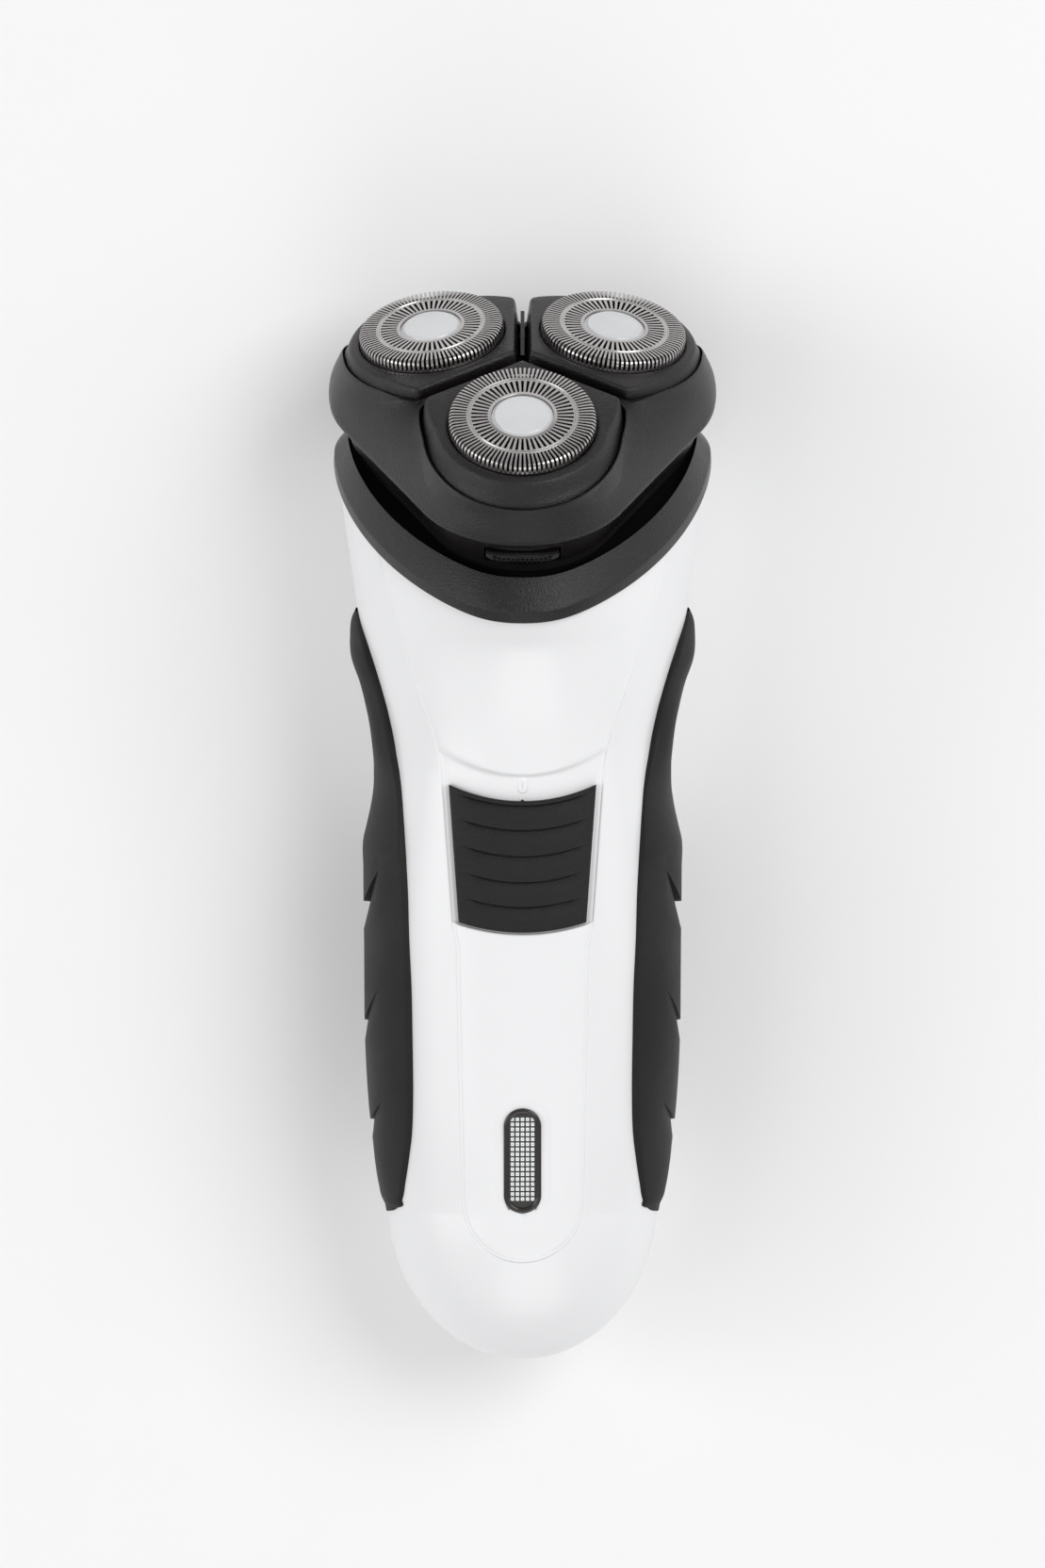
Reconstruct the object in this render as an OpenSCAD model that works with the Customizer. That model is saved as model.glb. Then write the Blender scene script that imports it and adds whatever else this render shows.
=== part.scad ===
// Cordless rotary shaver with three floating cutter pods.
// It lies on its back: +Z is up, towards the user's thumb, +Y points to the head and +X to the right.
// The origin is under the middle of the part, on the surface that it lies on.

/* [Handle] */
// From the origin back to the tip of the tail
tail_reach = 83.87; // [80:0.01:90]
// From the tip of the tail to the middle of the slanted rim that carries the collar
handle_len = 141.4; // [130:0.1:155]
// Length of the domed tail
tail_len = 24.7; // [20:0.1:30]
// Height of the tail's tip
tail_z = 20; // [18:0.1:22]
// Wall of both shells
wall = 1.8; // [1.4:0.1:2.4]
// Lean of the neck, the angle between the collar's plane and an upright cross-section
neck_lean = 34; // [30:1:38]
// Gap between the front panel and the shell round it
panel_gap = 0.12; // [0.08:0.01:0.25]
// How far the feet stand out below the flat of the back
foot_out = 0.4; // [0.3:0.05:0.6]
// Radius of a foot
pad_r = 3; // [2.5:0.1:3.4]

/* [Head] */
// Depth of the slanted rim below the plane of the cap tops
neck_depth = 24.3; // [23:0.1:28]
// How far the cutters' middle lies in front of the rim's middle
head_forward = 7.1; // [6:0.1:8]
// From the head's axis to each cap's centre
ring_r = 16.35; // [16:0.05:17]
// Outward tilt of each pod
pod_tilt = 8; // [6:0.5:10]
// Radius of a cap
cap_r = 11.2; // [10.5:0.1:11.6]
// Height of a cap's side
cap_h = 4.7; // [4.4:0.1:5]
// Thickness of a cap's slotted top
cap_top = 0.6; // [0.4:0.05:0.7]
// Radius of the plain disc in a cap
badge_r = 4.65; // [4:0.05:4.8]
// Slots in a cap's outer track
outer_slots = 60; // [40:4:72]
// Slots in a cap's inner track
inner_slots = 36; // [24:4:44]
// Blades on a cutter
blades = 12; // [9:1:15]
// Height of a pod below the cap tops
pod_h = 7; // [6.8:0.1:7.4]
// Radius of a pod's outer edge
pod_r = 15.3; // [15:0.1:15.6]
// Clearance between a pod and the frame round it
pod_gap = 0.6; // [0.4:0.05:0.8]
// Radius of the head frame's rim, from each cutter's axis
rim_r = 17.35; // [17:0.05:18]
// Depth of the rim's lower edge below the cap tops
rim_h = 13.6; // [13:0.1:14]
// Radius of the neck under the rim, from each cutter's axis
neck_r = 15; // [14.6:0.1:15.4]
// Radius of the head hinge's pin
pin_r = 0.75; // [0.6:0.05:0.9]

/* [Drive] */
// Depth at which a spindle turns its cutter, which is also the pod's pivot
drive_h = 8; // [7.8:0.1:8.4]
// Teeth of the motor's pinion
pinion_teeth = 16; // [14:1:18]
// Teeth of each spindle gear
gear_teeth = 24; // [22:1:26]
// Thickness of the gears
gear_t = 2.5; // [2:0.1:2.8]
// Radius of a spindle
spindle_r = 1.5; // [1.2:0.05:1.8]
// Running clearance of a shaft in its bore
running = 0.07; // [0.04:0.01:0.09]
// Radius of the motor can
motor_r = 10.2; // [9.5:0.1:10.5]
// Width of the motor can across its flats
motor_flat = 15.4; // [14:0.1:16]
// Length of the motor can
motor_len = 18; // [16:0.1:20]

/* [Controls] */
// From the tail's tip to the switch button's centre
switch_from_tail = 80.6; // [78:0.1:83]
// Length of the switch button
switch_len = 22.4; // [20:0.1:24]
// Width of the button at its head end
switch_w = 22.6; // [21:0.1:23]
// Width of the button at its tail end
switch_w_tail = 19.6; // [18:0.1:20]
// Hollow of the button's head end
switch_sag = 2.4; // [1.5:0.1:2.8]
// Rounding of the button's tail end
switch_sag_tail = 1.5; // [1:0.1:2]
// Travel of the button
switch_travel = 3.4; // [3:0.1:3.6]
// From the tail's tip to the charge window's centre
window_from_tail = 33.6; // [32:0.1:36]
// Length of the charge window's frame
window_len = 16.2; // [15:0.1:18]
// Width of the charge window's frame
window_w = 5.8; // [5:0.1:6.4]

/* [Power] */
// Radius of a battery cell
cell_r = 7; // [6.5:0.1:7.1]
// Length of a battery cell
cell_len = 49; // [44:0.1:50]
// Height of the charging inlet's axis
inlet_z = 14; // [13.5:0.1:14.5]
// Distance between the inlet's two pins
inlet_pitch = 5; // [4.6:0.1:5.4]
// Radius of an inlet pin
inlet_pin_r = 0.8; // [0.7:0.05:0.9]

/* [Grips] */
// How far a grip stands off the shell
grip_h = 1.3; // [1:0.05:1.6]
// Depth of the finger notches in a grip
gill_depth = 0.9; // [0.6:0.05:1.1]

/* [Hidden] */
$fn = 48;
eps = 0.01;

black = [0.03, 0.03, 0.032];
rubber = [0.07, 0.07, 0.075];
white = [0.93, 0.93, 0.93];
steel = [0.7, 0.7, 0.7];

// ---- the handle's law: a row for each cross-section, joined by smooth curves ----
// Share of the handle's length, height of the widest line, lean, half width,
// reach to the front, reach to the back, squareness in front, squareness behind
SECTIONS = [
    [0.175, 19.2, 0, 21.2, 16.8, 19.6, 2.1, 2.3],
    [0.288, 18.6, 0, 22.2, 19.6, 19.4, 2.3, 2.5],
    [0.465, 18.2, 0, 23.2, 22.1, 19.2, 2.4, 2.6],
    [0.606, 18.0, 1.5, 22.3, 23.6, 19.0, 2.4, 2.6],
    [0.698, 17.8, 5, 21.8, 24.9, 18.7, 2.35, 2.5],
    [0.783, 17.6, 11, 24.4, 27.7, 18.0, 2.2, 2.4],
    [0.867, 17.3, 19, 26.4, 31.9, 17.3, 2.0, 2.3],
    [0.937, 16.9, 27, 27.8, 37.2, 16.6, 1.85, 2.1],
    [1.0, 16.5, 34, 29.0, 42.5, 15.8, 1.7, 2.0]];
LAST = len(SECTIONS) - 1;
tail_y = -tail_reach;

function rows(i) = i < 0 ? 2 * SECTIONS[0] - SECTIONS[1]
    : i > LAST ? 2 * SECTIONS[LAST] - SECTIONS[LAST - 1]
    : i == LAST ? concat([SECTIONS[LAST][0], SECTIONS[LAST][1], neck_lean],
        [for (k = [3:7]) SECTIONS[LAST][k]])
    : SECTIONS[i];
function curve(p0, p1, p2, p3, t) = 0.5 * (2 * p1 + (p2 - p0) * t
    + (2 * p0 - 5 * p1 + 4 * p2 - p3) * t * t + (3 * p1 - p0 - 3 * p2 + p3) * t * t * t);
// A cross-section at s, from 0 at the dome's end to LAST at the rim
function section(s) = let (i = min(floor(s), LAST - 1), t = s - i)
    curve(rows(i - 1), rows(i), rows(i + 1), rows(i + 2), t);
// In the tail, s runs from -1 at the tip to 0, and the section shrinks as in an ellipsoid
function law(s) = s >= 0
    ? let (r = section(s)) concat([tail_y + r[0] * handle_len], [for (k = [1:7]) r[k]])
    : let (r = rows(0), a = 90 * (1 + s), f = sin(a))
        [tail_y + r[0] * handle_len - tail_len * cos(a), tail_z + (r[1] - tail_z) * f, 0,
         r[3] * f, r[4] * f, r[5] * f, r[6], r[7]];
function sgn(v) = v < 0 ? -1 : 1;
// From 0 at low to 1 at high
function ramp(v, low, high) = min(max((v - low) / (high - low), 0), 1);
// A point of the section's edge: angle 0 is at +X and 90 at the front, grown outwards by g
function edge(s, angle, g = 0) = let (r = law(s), front = angle >= 0 && angle <= 180,
        n = front ? r[6] : r[7], reach = front ? r[4] : r[5],
        x = (r[3] + g) * sgn(cos(angle)) * pow(abs(cos(angle)), 2 / n),
        v = (reach + g) * sgn(sin(angle)) * pow(abs(sin(angle)), 2 / n))
    [x, r[0] - v * sin(r[2]), max(r[1] + v * cos(r[2]), foot_out - min(g, 0))];

RING_STEPS = [-0.93, -0.84, -0.7, -0.54, -0.36, -0.18, 0, 0.5, 1, 1.5, 2, 2.5, 3, 3.5, 4, 4.5, 5, 5.5, 6, 6.5,
    7, 7.5, 8];
CORE_STEPS = [-0.72, -0.5, -0.25, 0, 1, 2, 3, 4, 5, 6, 7, 8];

// ---- polyhedra from rings of points ----
// A closed solid through a list of rings; with loop, the last ring joins the first
module skin(rings, loop = false) {
    n = len(rings[0]);
    m = len(rings);
    sides = [for (j = [0 : m - (loop ? 1 : 2)]) for (i = [0 : n - 1])
        let (k = (j + 1) % m, l = (i + 1) % n) each [[j * n + i, k * n + l, j * n + l],
            [j * n + i, k * n + i, k * n + l]]];
    ends = loop ? [] : [[for (i = [0 : n - 1]) i], [for (i = [n - 1 : -1 : 0]) (m - 1) * n + i]];
    polyhedron(points = [for (r = rings) each r], faces = concat(sides, ends), convexity = 6);
}

module handle_loft(steps, from, to, count, g = 0, over = 0) {
    half = to - from < 360;
    points = half ? count + 1 : count;
    rings = [for (s = steps) [for (i = [0 : points - 1]) edge(s, from + (to - from) * i / count, g)]];
    past = [for (p = rings[len(rings) - 1]) p + over * [0, cos(neck_lean), sin(neck_lean)]];
    skin([for (r = over > 0 ? concat(rings, [past]) : rings) [for (i = [points - 1 : -1 : 0]) r[i]]]);
}
module front_half() handle_loft(RING_STEPS, 0, 180, 18);
module rear_half() handle_loft(RING_STEPS, 180, 360, 18);
module core() handle_loft(CORE_STEPS, 0, 360, 24, -wall, 2);

// ---- places ----
rim = law(LAST);
head_y = rim[0] + neck_depth * cos(neck_lean) - head_forward * sin(neck_lean);
head_z = rim[1] + neck_depth * sin(neck_lean) + head_forward * cos(neck_lean);
// The head's own frame: +Z out of the caps, -Y to the front of the shaver
module at_head() translate([0, head_y, head_z]) rotate([neck_lean - 90, 0, 0]) children();
DIRECTIONS = [-90, 30, 150];
// A pod's own frame: +Z along its cap's axis, +X away from the head's axis
module at_pod(k) at_head() rotate([0, 0, DIRECTIONS[k]]) translate([ring_r, 0, 0])
    rotate([0, pod_tilt, 0]) children();
// The foot of a pod's axis at its drive, where the spindle stands
drive_r = ring_r - drive_h * sin(pod_tilt);
drive_z = -drive_h * cos(pod_tilt);
module at_spindle(k) at_head() rotate([0, 0, DIRECTIONS[k]]) translate([drive_r, 0, 0]) children();

// Three arcs round the cutters' axes, joined by straight sides, at the depth h
function lobes(r, h, steps = 13) = [for (k = [0:2]) for (i = [0:steps])
    let (c = DIRECTIONS[k], a = c - 60 + 120 * i / steps, q = ring_r - h * tan(pod_tilt))
        [q * cos(c) + r * cos(a), q * sin(c) + r * sin(a), -h]];
function flat(points) = [for (p = points) [p[0], p[1]]];
// The collar's family of outlines: half width w, reach a to the front and b to the back
function egg(w, a, b, h, n = 1.72, steps = 48) = [for (i = [0 : steps - 1])
    let (t = 360 * i / steps, back = t <= 180, k = back ? 2 : n, reach = back ? b : a)
        [w * sgn(cos(t)) * pow(abs(cos(t)), 2 / k),
         head_forward + reach * sgn(sin(t)) * pow(abs(sin(t)), 2 / k), -h]];

// ---- handle ----
switch_y = tail_y + switch_from_tail;
switch_slope = 3.7;
floor_z = 37.7;
tray = 1.2;
module at_switch() translate([0, switch_y, floor_z]) rotate([switch_slope, 0, 0]) children();
pocket_gap = 0.7;
module button_plan(g = 0, ahead = 0) {
    taper = (switch_w - switch_w_tail) / switch_len;
    low = [for (u = [-1 : 0.25 : 1]) [u, -switch_len / 2 - g + switch_sag_tail * u * u]];
    high = [for (u = [1 : -0.25 : -1]) [u, switch_len / 2 + ahead + g - switch_sag * (1 - u * u)]];
    polygon([for (p = concat(low, high))
        [p[0] * (switch_w_tail / 2 + g + taper / 2 * (p[1] + switch_len / 2)), p[1]]]);
}
module pocket(low = 0, g = 0) at_switch() translate([0, 0, low]) linear_extrude(20)
    button_plan(pocket_gap + g, switch_travel);

screw_x = 14;
screw_tail_y = tail_y + 35.7;
screw_neck_y = tail_y + 104.7;
module at_screws() for (x = [-1, 1], y = [screw_tail_y, screw_neck_y]) translate([x * screw_x, y, 0])
    children();
boss_r = 3;
boss_join = 9;
screw_r = 0.95;

panel_half = 9.4;
panel_low = 17;
// Plan of the front panel: a U that widens beside the button and again towards the collar
module panel_plan(g = 0) {
    low = tail_y + panel_low + panel_half;
    union() {
        translate([0, low]) circle(panel_half - g);
        side = [[panel_half, low], [9.6, switch_y - 12.6], [11.2, switch_y - 12.4], [13, switch_y + 17],
            [15.6, switch_y + 24.9], [20, switch_y + 39.3], [22.1, switch_y + 46.6], [23.5, switch_y + 75]];
        polygon(concat([for (p = side) [p[0] - g, p[1]]],
            [for (i = [len(side) - 1 : -1 : 0]) [g - side[i][0], side[i][1]]]));
    }
}
module front_shell() color(white) {
    difference() {
        front_half();
        core();
        translate([0, 0, 25]) linear_extrude(60) panel_plan();
    }
    difference() {
        front_bosses(-wall / 2);
        translate([0, 0, 25]) linear_extrude(60) panel_plan(-0.3);
    }
    front_bosses(-wall - 0.3);
}
// Posts for the case screws, up to the depth g inside the handle's front
module front_bosses(g) intersection() {
    difference() {
        at_screws() translate([0, 0, boss_join]) cylinder(r = boss_r, h = 40);
        at_screws() cylinder(r = screw_r, h = boss_join + 5);
    }
    handle_loft(CORE_STEPS, 0, 180, 12, g);
}
// The feet's place to the side, and their places along the handle and heights at the tail and at the neck
foot_x = 8;
foot_tail_y = -50;
foot_neck_y = 40;
foot_tail_h = 1.3;
foot_neck_h = 2.1;
module feet(grow = 0) for (x = [-1, 1]) translate([x * foot_x, 0, -grow]) {
    translate([0, foot_tail_y, 0]) cylinder(r = pad_r + grow, h = foot_tail_h + 2 * grow);
    translate([0, foot_neck_y, 0]) cylinder(r = pad_r + grow, h = foot_neck_h + 2 * grow);
}
module rubber_feet() color(rubber) feet();
module rear_shell() color(white) {
    difference() {
        union() {
            difference() {
                rear_half();
                core();
            }
            intersection() {
                at_screws() cylinder(r = boss_r, h = boss_join);
                handle_loft(CORE_STEPS, 180, 360, 12, -wall / 2);
            }
        }
        at_screws() translate([0, 0, -1]) cylinder(r = 1.3, h = 12);
        at_screws() translate([0, 0, -1]) cylinder(r = 2.6, h = 6);
        feet(0.05);
        inlet_body(0.1);
    }
}
module fascia() color(white) difference() {
    intersection() {
        front_half();
        translate([0, 0, 25]) linear_extrude(60) panel_plan(panel_gap);
    }
    difference() {
        core();
        pocket(-tray, tray);
    }
    pocket();
    at_switch() translate([-2.2, -8, -3]) cube([4.4, 14, 6]);
    at_window() translate([0, 0, -5]) linear_extrude(10) slot_plan(window_len + 0.2, window_w + 0.2);
}
module case_screws() color(steel) at_screws() {
    translate([0, 0, 2.6]) cylinder(r = 2.2, h = 2.3);
    translate([0, 0, 4.8]) cylinder(r = screw_r - 0.05, h = boss_join);
}

// The button's top follows the front of the handle and stands a little proud of it
proud = 0.5;
module switch_button() color(black) difference() {
    union() {
        intersection() {
            handle_loft(RING_STEPS, 0, 180, 18, proud);
            at_switch() translate([0, 0, 0.3]) linear_extrude(12) button_plan();
        }
        at_switch() translate([-1.5, -3, -5.2]) cube([3, 5, 6]);
    }
    for (i = [-2:2]) at_switch() translate([0, i * 3.75 + 28, 0.3 + 3.1]) difference() {
        cylinder(r = 28.3, h = 4, $fn = 96);
        translate([0, 0, -1]) cylinder(r = 27.7, h = 6, $fn = 96);
    }
}
board_z = 27.6;
board_t = 1.2;
module circuit_board() color("darkgreen") translate([-9, tail_y + 25, board_z]) cube([18, 66, board_t]);
module slide_switch() color("dimgray") translate([-3.5, switch_y - 6, board_z + board_t])
    cube([7, 12, 3.2]);

// Charge window, seated in the panel's slope
window_slope = 9;
window_y = tail_y + window_from_tail;
window_z = 37.15;
module at_window() translate([0, window_y, window_z]) rotate([window_slope, 0, 0]) children();
module slot_plan(length, width) hull() for (y = [-1, 1]) translate([0, y * (length - width) / 2])
    circle(width / 2);
bezel_wall = 0.8;
module charge_bezel() color(black) at_window() translate([0, 0, -2.2]) linear_extrude(2.3) difference() {
    slot_plan(window_len, window_w);
    slot_plan(window_len - 2 * bezel_wall, window_w - 2 * bezel_wall);
}
module charge_lens() color([0.75, 0.77, 0.78]) at_window() translate([0, 0, -1.9]) linear_extrude(1.8)
    slot_plan(window_len - 2 * bezel_wall - 0.1, window_w - 2 * bezel_wall - 0.1);
module charge_led() color("lime") translate([-1.5, window_y - 5, board_z + board_t])
    cube([3, 10, 4]);

// Battery cells between the tail and the motor
cell_z = wall + cell_r + 0.6;
cell_y = tail_y + 41;
cell_pitch = 2 * cell_r + 0.4;
module battery_cells() color("seagreen") for (x = [-0.5, 0.5])
    translate([x * cell_pitch, cell_y, cell_z]) rotate([-90, 0, 0]) {
        cylinder(r = cell_r, h = cell_len);
        cylinder(r = cell_r * 0.38, h = cell_len + 1);
    }
module battery_contacts() color(steel) {
    translate([-cell_pitch / 2 - 4, cell_y - 0.6, cell_z - 4]) cube([cell_pitch + 8, 0.5, 8]);
    translate([-cell_pitch / 2 - 4, cell_y + cell_len + 1.1, cell_z - 4]) cube([cell_pitch + 8, 0.5, 8]);
}

// Charging inlet in the underside of the tail
inlet_w = 12;
inlet_h = 7;
inlet_depth = 9;
inlet_mouth = 2.6;
pin_root_r = 0.6;
module inlet_plan(g) hull() for (x = [-1, 1]) translate([x * (inlet_w - inlet_h) / 2, 0])
    circle(inlet_h / 2 + g);
module at_inlet() translate([0, tail_y + inlet_mouth, inlet_z]) rotate([-90, 0, 0]) children();
module inlet_body(g = 0) at_inlet() translate([0, 0, -inlet_mouth]) linear_extrude(inlet_mouth + inlet_depth + 2 + g)
    inlet_plan(1 + g);
module inlet_socket() color(black) difference() {
    intersection() {
        inlet_body();
        rear_half();
    }
    at_inlet() translate([0, 0, -inlet_mouth - 1]) linear_extrude(inlet_mouth + inlet_depth + 1) inlet_plan(0);
    for (x = [-0.5, 0.5]) at_inlet() translate([x * inlet_pitch, 0, 0])
        cylinder(r = pin_root_r, h = inlet_depth + 4);
}
module inlet_pins() color(steel) for (x = [-0.5, 0.5]) at_inlet() translate([x * inlet_pitch, 0, 0]) {
    translate([0, 0, 1.2]) cylinder(r = inlet_pin_r, h = inlet_depth - 1.2);
    translate([0, 0, inlet_depth]) cylinder(r = pin_root_r, h = 3);
}

// Soft grips: patches of the handle's sides with three sawtooth notches each
grip_columns = 8;
grip_seat = 0.1;
// Angle of a grip's front edge and back edge along the handle, as in the section's law
GRIP_FRONT = [[0, 12], [0.3, 34], [1.2, 45], [2, 44], [3, 38], [4, 28.5], [5, 22.5], [5.5, 16], [5.75, 8]];
GRIP_BACK = [[0, 2], [0.3, -14], [1, -28], [2, -32], [2.8, -26], [3.3, -8], [3.8, 4], [4.3, 7], [4.8, 4],
    [5.2, -4], [5.5, -6], [5.75, 2]];
GILLS = [0.88, 1.6, 2.39];
gill_run = 0.17;
GRIP_ROWS = [0, 0.12, 0.3, 0.5, 0.71, 0.8, 0.87, 0.89, 1.1, 1.3, 1.43, 1.51, 1.59, 1.61, 1.8, 2, 2.22, 2.3,
    2.38, 2.4, 2.7, 3, 3.5, 4, 4.5, 5, 5.3, 5.6, 5.75];
function swell(s) = pow(ramp(s, -0.1, 0.6) * ramp(s, 5.9, 5), 0.5);
function gill(s, c) = let (near = [for (q = GILLS) if (s <= q && s > q - gill_run) 1 - (q - s) / gill_run])
    len(near) > 0 ? gill_depth * near[0] * sin(180 * ramp(c, 0, 0.8)) : 0;
function grip_angle(s, c) = let (a = lookup(s, GRIP_BACK) * (1 - c) + lookup(s, GRIP_FRONT) * c)
    a < 0 ? a + 360 : a;
function grip_ring(s) = concat(
    [for (i = [grip_columns : -1 : 0]) let (c = i / grip_columns)
        edge(s, grip_angle(s, c), grip_seat + grip_h * swell(s) * (0.55 + 0.45 * sin(180 * c)) - gill(s, c))],
    [for (i = [0 : grip_columns]) edge(s, grip_angle(s, i / grip_columns), grip_seat)]);
module grip() skin([for (s = GRIP_ROWS) grip_ring(s)]);
module grip_right() color(rubber) grip();
module grip_left() color(rubber) mirror([1, 0, 0]) grip();

// ---- neck ----
// The collar's profile: half width, reach to the front, reach to the back, depth and fall behind the neck
COLLAR = [[27.2, 39, 15.4, 18.3, 1], [29.5, 43, 16, 22.9, 0], [29.5, 43, 16, 23.3, 0],
    [29.1, 42.5, 15.8, 23.5, 0], [29.1, 42.5, 15.8, 24.3, 0], [25.6, 34.6, 14, 24.3, 0],
    [25.6, 34.6, 14, 22, 0], [26.9, 36.2, 15.2, 22, 0]];
hinge_y = 22.7;
hinge_h = 17.2;
knuckle_r = 1.5;
knuckle_half = 4.6;
module at_hinge() at_head() translate([0, hinge_y, -hinge_h]) rotate([0, 90, 0]) children();
// Behind the neck the collar's upper edge sinks by the row's last value
function collar_ring(p) = [for (q = egg(p[0], p[1], p[2], p[3])) q - [0, 0, p[4] * ramp(q[1], 2, 9)]];
module collar() color(black) difference() {
    union() {
        at_head() skin([for (i = [len(COLLAR) - 1 : -1 : 0]) collar_ring(COLLAR[i])], loop = true);
        at_hinge() cylinder(r = knuckle_r, h = 2 * knuckle_half, center = true);
        at_head() translate([-knuckle_half, hinge_y - 1.2, -20.4]) cube([2 * knuckle_half, 1.6, 20.4 - hinge_h]);
    }
    at_hinge() {
        cylinder(r = pin_r + running, h = 4 * knuckle_half, center = true);
        for (x = [-1, 1]) translate([0, 0, x * (knuckle_half + 2.1)]) cylinder(r = 2.7, h = 4, center = true);
    }
}

// The floor of the hair chamber, with a bush round each spindle
deck_top = 20.6;
deck_under = 22;
module drive_deck() color(black) difference() {
    union() {
        at_head() translate([0, 0, -deck_under]) linear_extrude(deck_under - deck_top)
            polygon(flat(egg(26.7, 36, 15, 0)));
        for (k = [0:2]) at_spindle(k) translate([0, 0, -deck_under]) cylinder(r = 3.2, h = 5.5);
    }
    for (k = [0:2]) at_spindle(k) translate([0, 0, -deck_under - 1])
        cylinder(r = spindle_r + running, h = 10);
}
seal_r = neck_r - 1.1;
module deck_seal() color(rubber) at_head() translate([0, 0, -deck_top]) linear_extrude(1.2) difference() {
    intersection() {
        polygon(flat(lobes(seal_r + 0.5, deck_top)));
        polygon(flat(egg(26.8, 36, 15.1, 0)));
    }
    polygon(flat(lobes(seal_r - 0.6, deck_top)));
}

// The gear chassis hangs under the deck on three posts and carries the motor
chassis_top = 26.3;
chassis_t = 1.5;
chassis_r = 18.8;
post_r = 1.8;
post_ring = 16.6;
gears_top = 23.2;
foot_r = 1;
boss_motor_r = 3;
module gear_chassis() color([0.8, 0.8, 0.78]) difference() {
    at_head() union() {
        translate([0, 0, -chassis_top - chassis_t]) cylinder(r = chassis_r, h = chassis_t);
        for (a = DIRECTIONS) rotate([0, 0, a + 60]) translate([post_ring, 0, -chassis_top - 0.5])
            cylinder(r = post_r, h = chassis_top + 0.5 - deck_under);
    }
    for (k = [0:2]) at_spindle(k) translate([0, 0, -chassis_top - 5]) cylinder(r = foot_r + running, h = 9);
    at_head() translate([0, 0, -chassis_top - 5]) cylinder(r = boss_motor_r + 0.1, h = 9);
}
can_top = chassis_top + chassis_t;
can_wall = 1;
shaft_r = 1;
module motor_can() color(steel) at_head() translate([0, 0, -can_top]) difference() {
    union() {
        intersection() {
            translate([0, 0, -motor_len]) cylinder(r = motor_r, h = motor_len);
            translate([-motor_r - 1, -motor_flat / 2, -motor_len]) cube([2 * motor_r + 2, motor_flat, motor_len]);
        }
        translate([0, 0, -eps]) cylinder(r = boss_motor_r, h = 1.2);
    }
    translate([0, 0, -motor_len + can_wall]) cylinder(r = motor_flat / 2 - can_wall, h = motor_len - 2 * can_wall);
    translate([0, 0, -motor_len - 1]) cylinder(r = shaft_r + running, h = motor_len + 4);
}
module motor_rotor() color("peru") at_head() {
    translate([0, 0, -can_top - motor_len + 0.4]) cylinder(r = shaft_r, h = motor_len + can_top - gears_top);
    translate([0, 0, -can_top - motor_len + 3.5]) cylinder(r = motor_flat / 2 - can_wall - 1, h = motor_len - 7);
}

// Spur gears with straight-flanked teeth
gear_module = 2 * drive_r / (pinion_teeth + gear_teeth);
module spur(teeth, bore, phase = 0) {
    root = gear_module * (teeth / 2 - 1.2);
    tip = gear_module * (teeth / 2 + 0.9);
    pitch = 360 / teeth;
    linear_extrude(gear_t) difference() {
        polygon([for (i = [0 : teeth - 1]) for (p = [[root, -0.32], [tip, -0.1], [tip, 0.1], [root, 0.32]])
            [p[0] * cos(phase + pitch * (i + p[1])), p[0] * sin(phase + pitch * (i + p[1]))]]);
        circle(bore);
    }
}
module pinion() color("ivory") at_head() translate([0, 0, -gears_top - gear_t]) spur(pinion_teeth, shaft_r);
// A gear's phase puts a gap where a tooth of the pinion stands
module gear(k) color("ivory") at_spindle(k) rotate([0, 0, -DIRECTIONS[k]])
    translate([0, 0, -gears_top - gear_t]) spur(gear_teeth, spindle_r,
        DIRECTIONS[k] * (1 + pinion_teeth / gear_teeth) + 180 - 180 / gear_teeth);
module gear_front() gear(0);
module gear_right() gear(1);
module gear_left() gear(2);
// The key on a spindle's top stands along the head's Y, so the head can swing off it
key_half = 2.5;
key_t = 1.6;
module spindle(k) color("ivory") at_spindle(k) rotate([0, 0, -DIRECTIONS[k]]) {
    translate([0, 0, drive_z - 0.6 - 17.4]) cylinder(r = spindle_r, h = 17.4);
    translate([0, 0, -chassis_top - 1.2]) cylinder(r = foot_r, h = 1.6);
    translate([0, 0, drive_z - 0.7]) intersection() {
        cylinder(r = key_half, h = 1.4);
        translate([-key_t / 2, -key_half, 0]) cube([key_t, 2 * key_half, 1.4]);
    }
}
module spindle_front() spindle(0);
module spindle_right() spindle(1);
module spindle_left() spindle(2);

// ---- shaving head ----
// A pod's outline as a distance at each angle: two straight sides on the 60 degree lines, a round front
pod_split = 1.3;
function pod_edge(a, slope, all) = let (off = abs(a > 180 ? a - 360 : a),
        side = ring_r * sin(60) - pod_split, shoulder = 1.6 * pow(ramp(off, 60, 120), 2),
        round_r = pod_r + shoulder - slope * ramp(118 - off, 0, 30),
        flat_r = off > 62 ? side / cos(off - 150) : 100)
    min(round_r, flat_r) - all;
POD_ANGLES = [for (a = [0 : 10 : 100]) a, 106, 112, 118, 125, 135, 150, 165, 173, 180];
function pod_ring(slope, all, z) = [for (a = concat(POD_ANGLES,
        [for (i = [len(POD_ANGLES) - 2 : -1 : 1]) 360 - POD_ANGLES[i]]))
    let (r = pod_edge(a, slope, all)) [r * cos(a), r * sin(a), z]];
pod_top = 1.9;
seat_h = cap_h - 0.05;
flange_r = cap_r + 0.9;
pivot_at = 12.9;
ear_r = 0.8;
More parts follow.
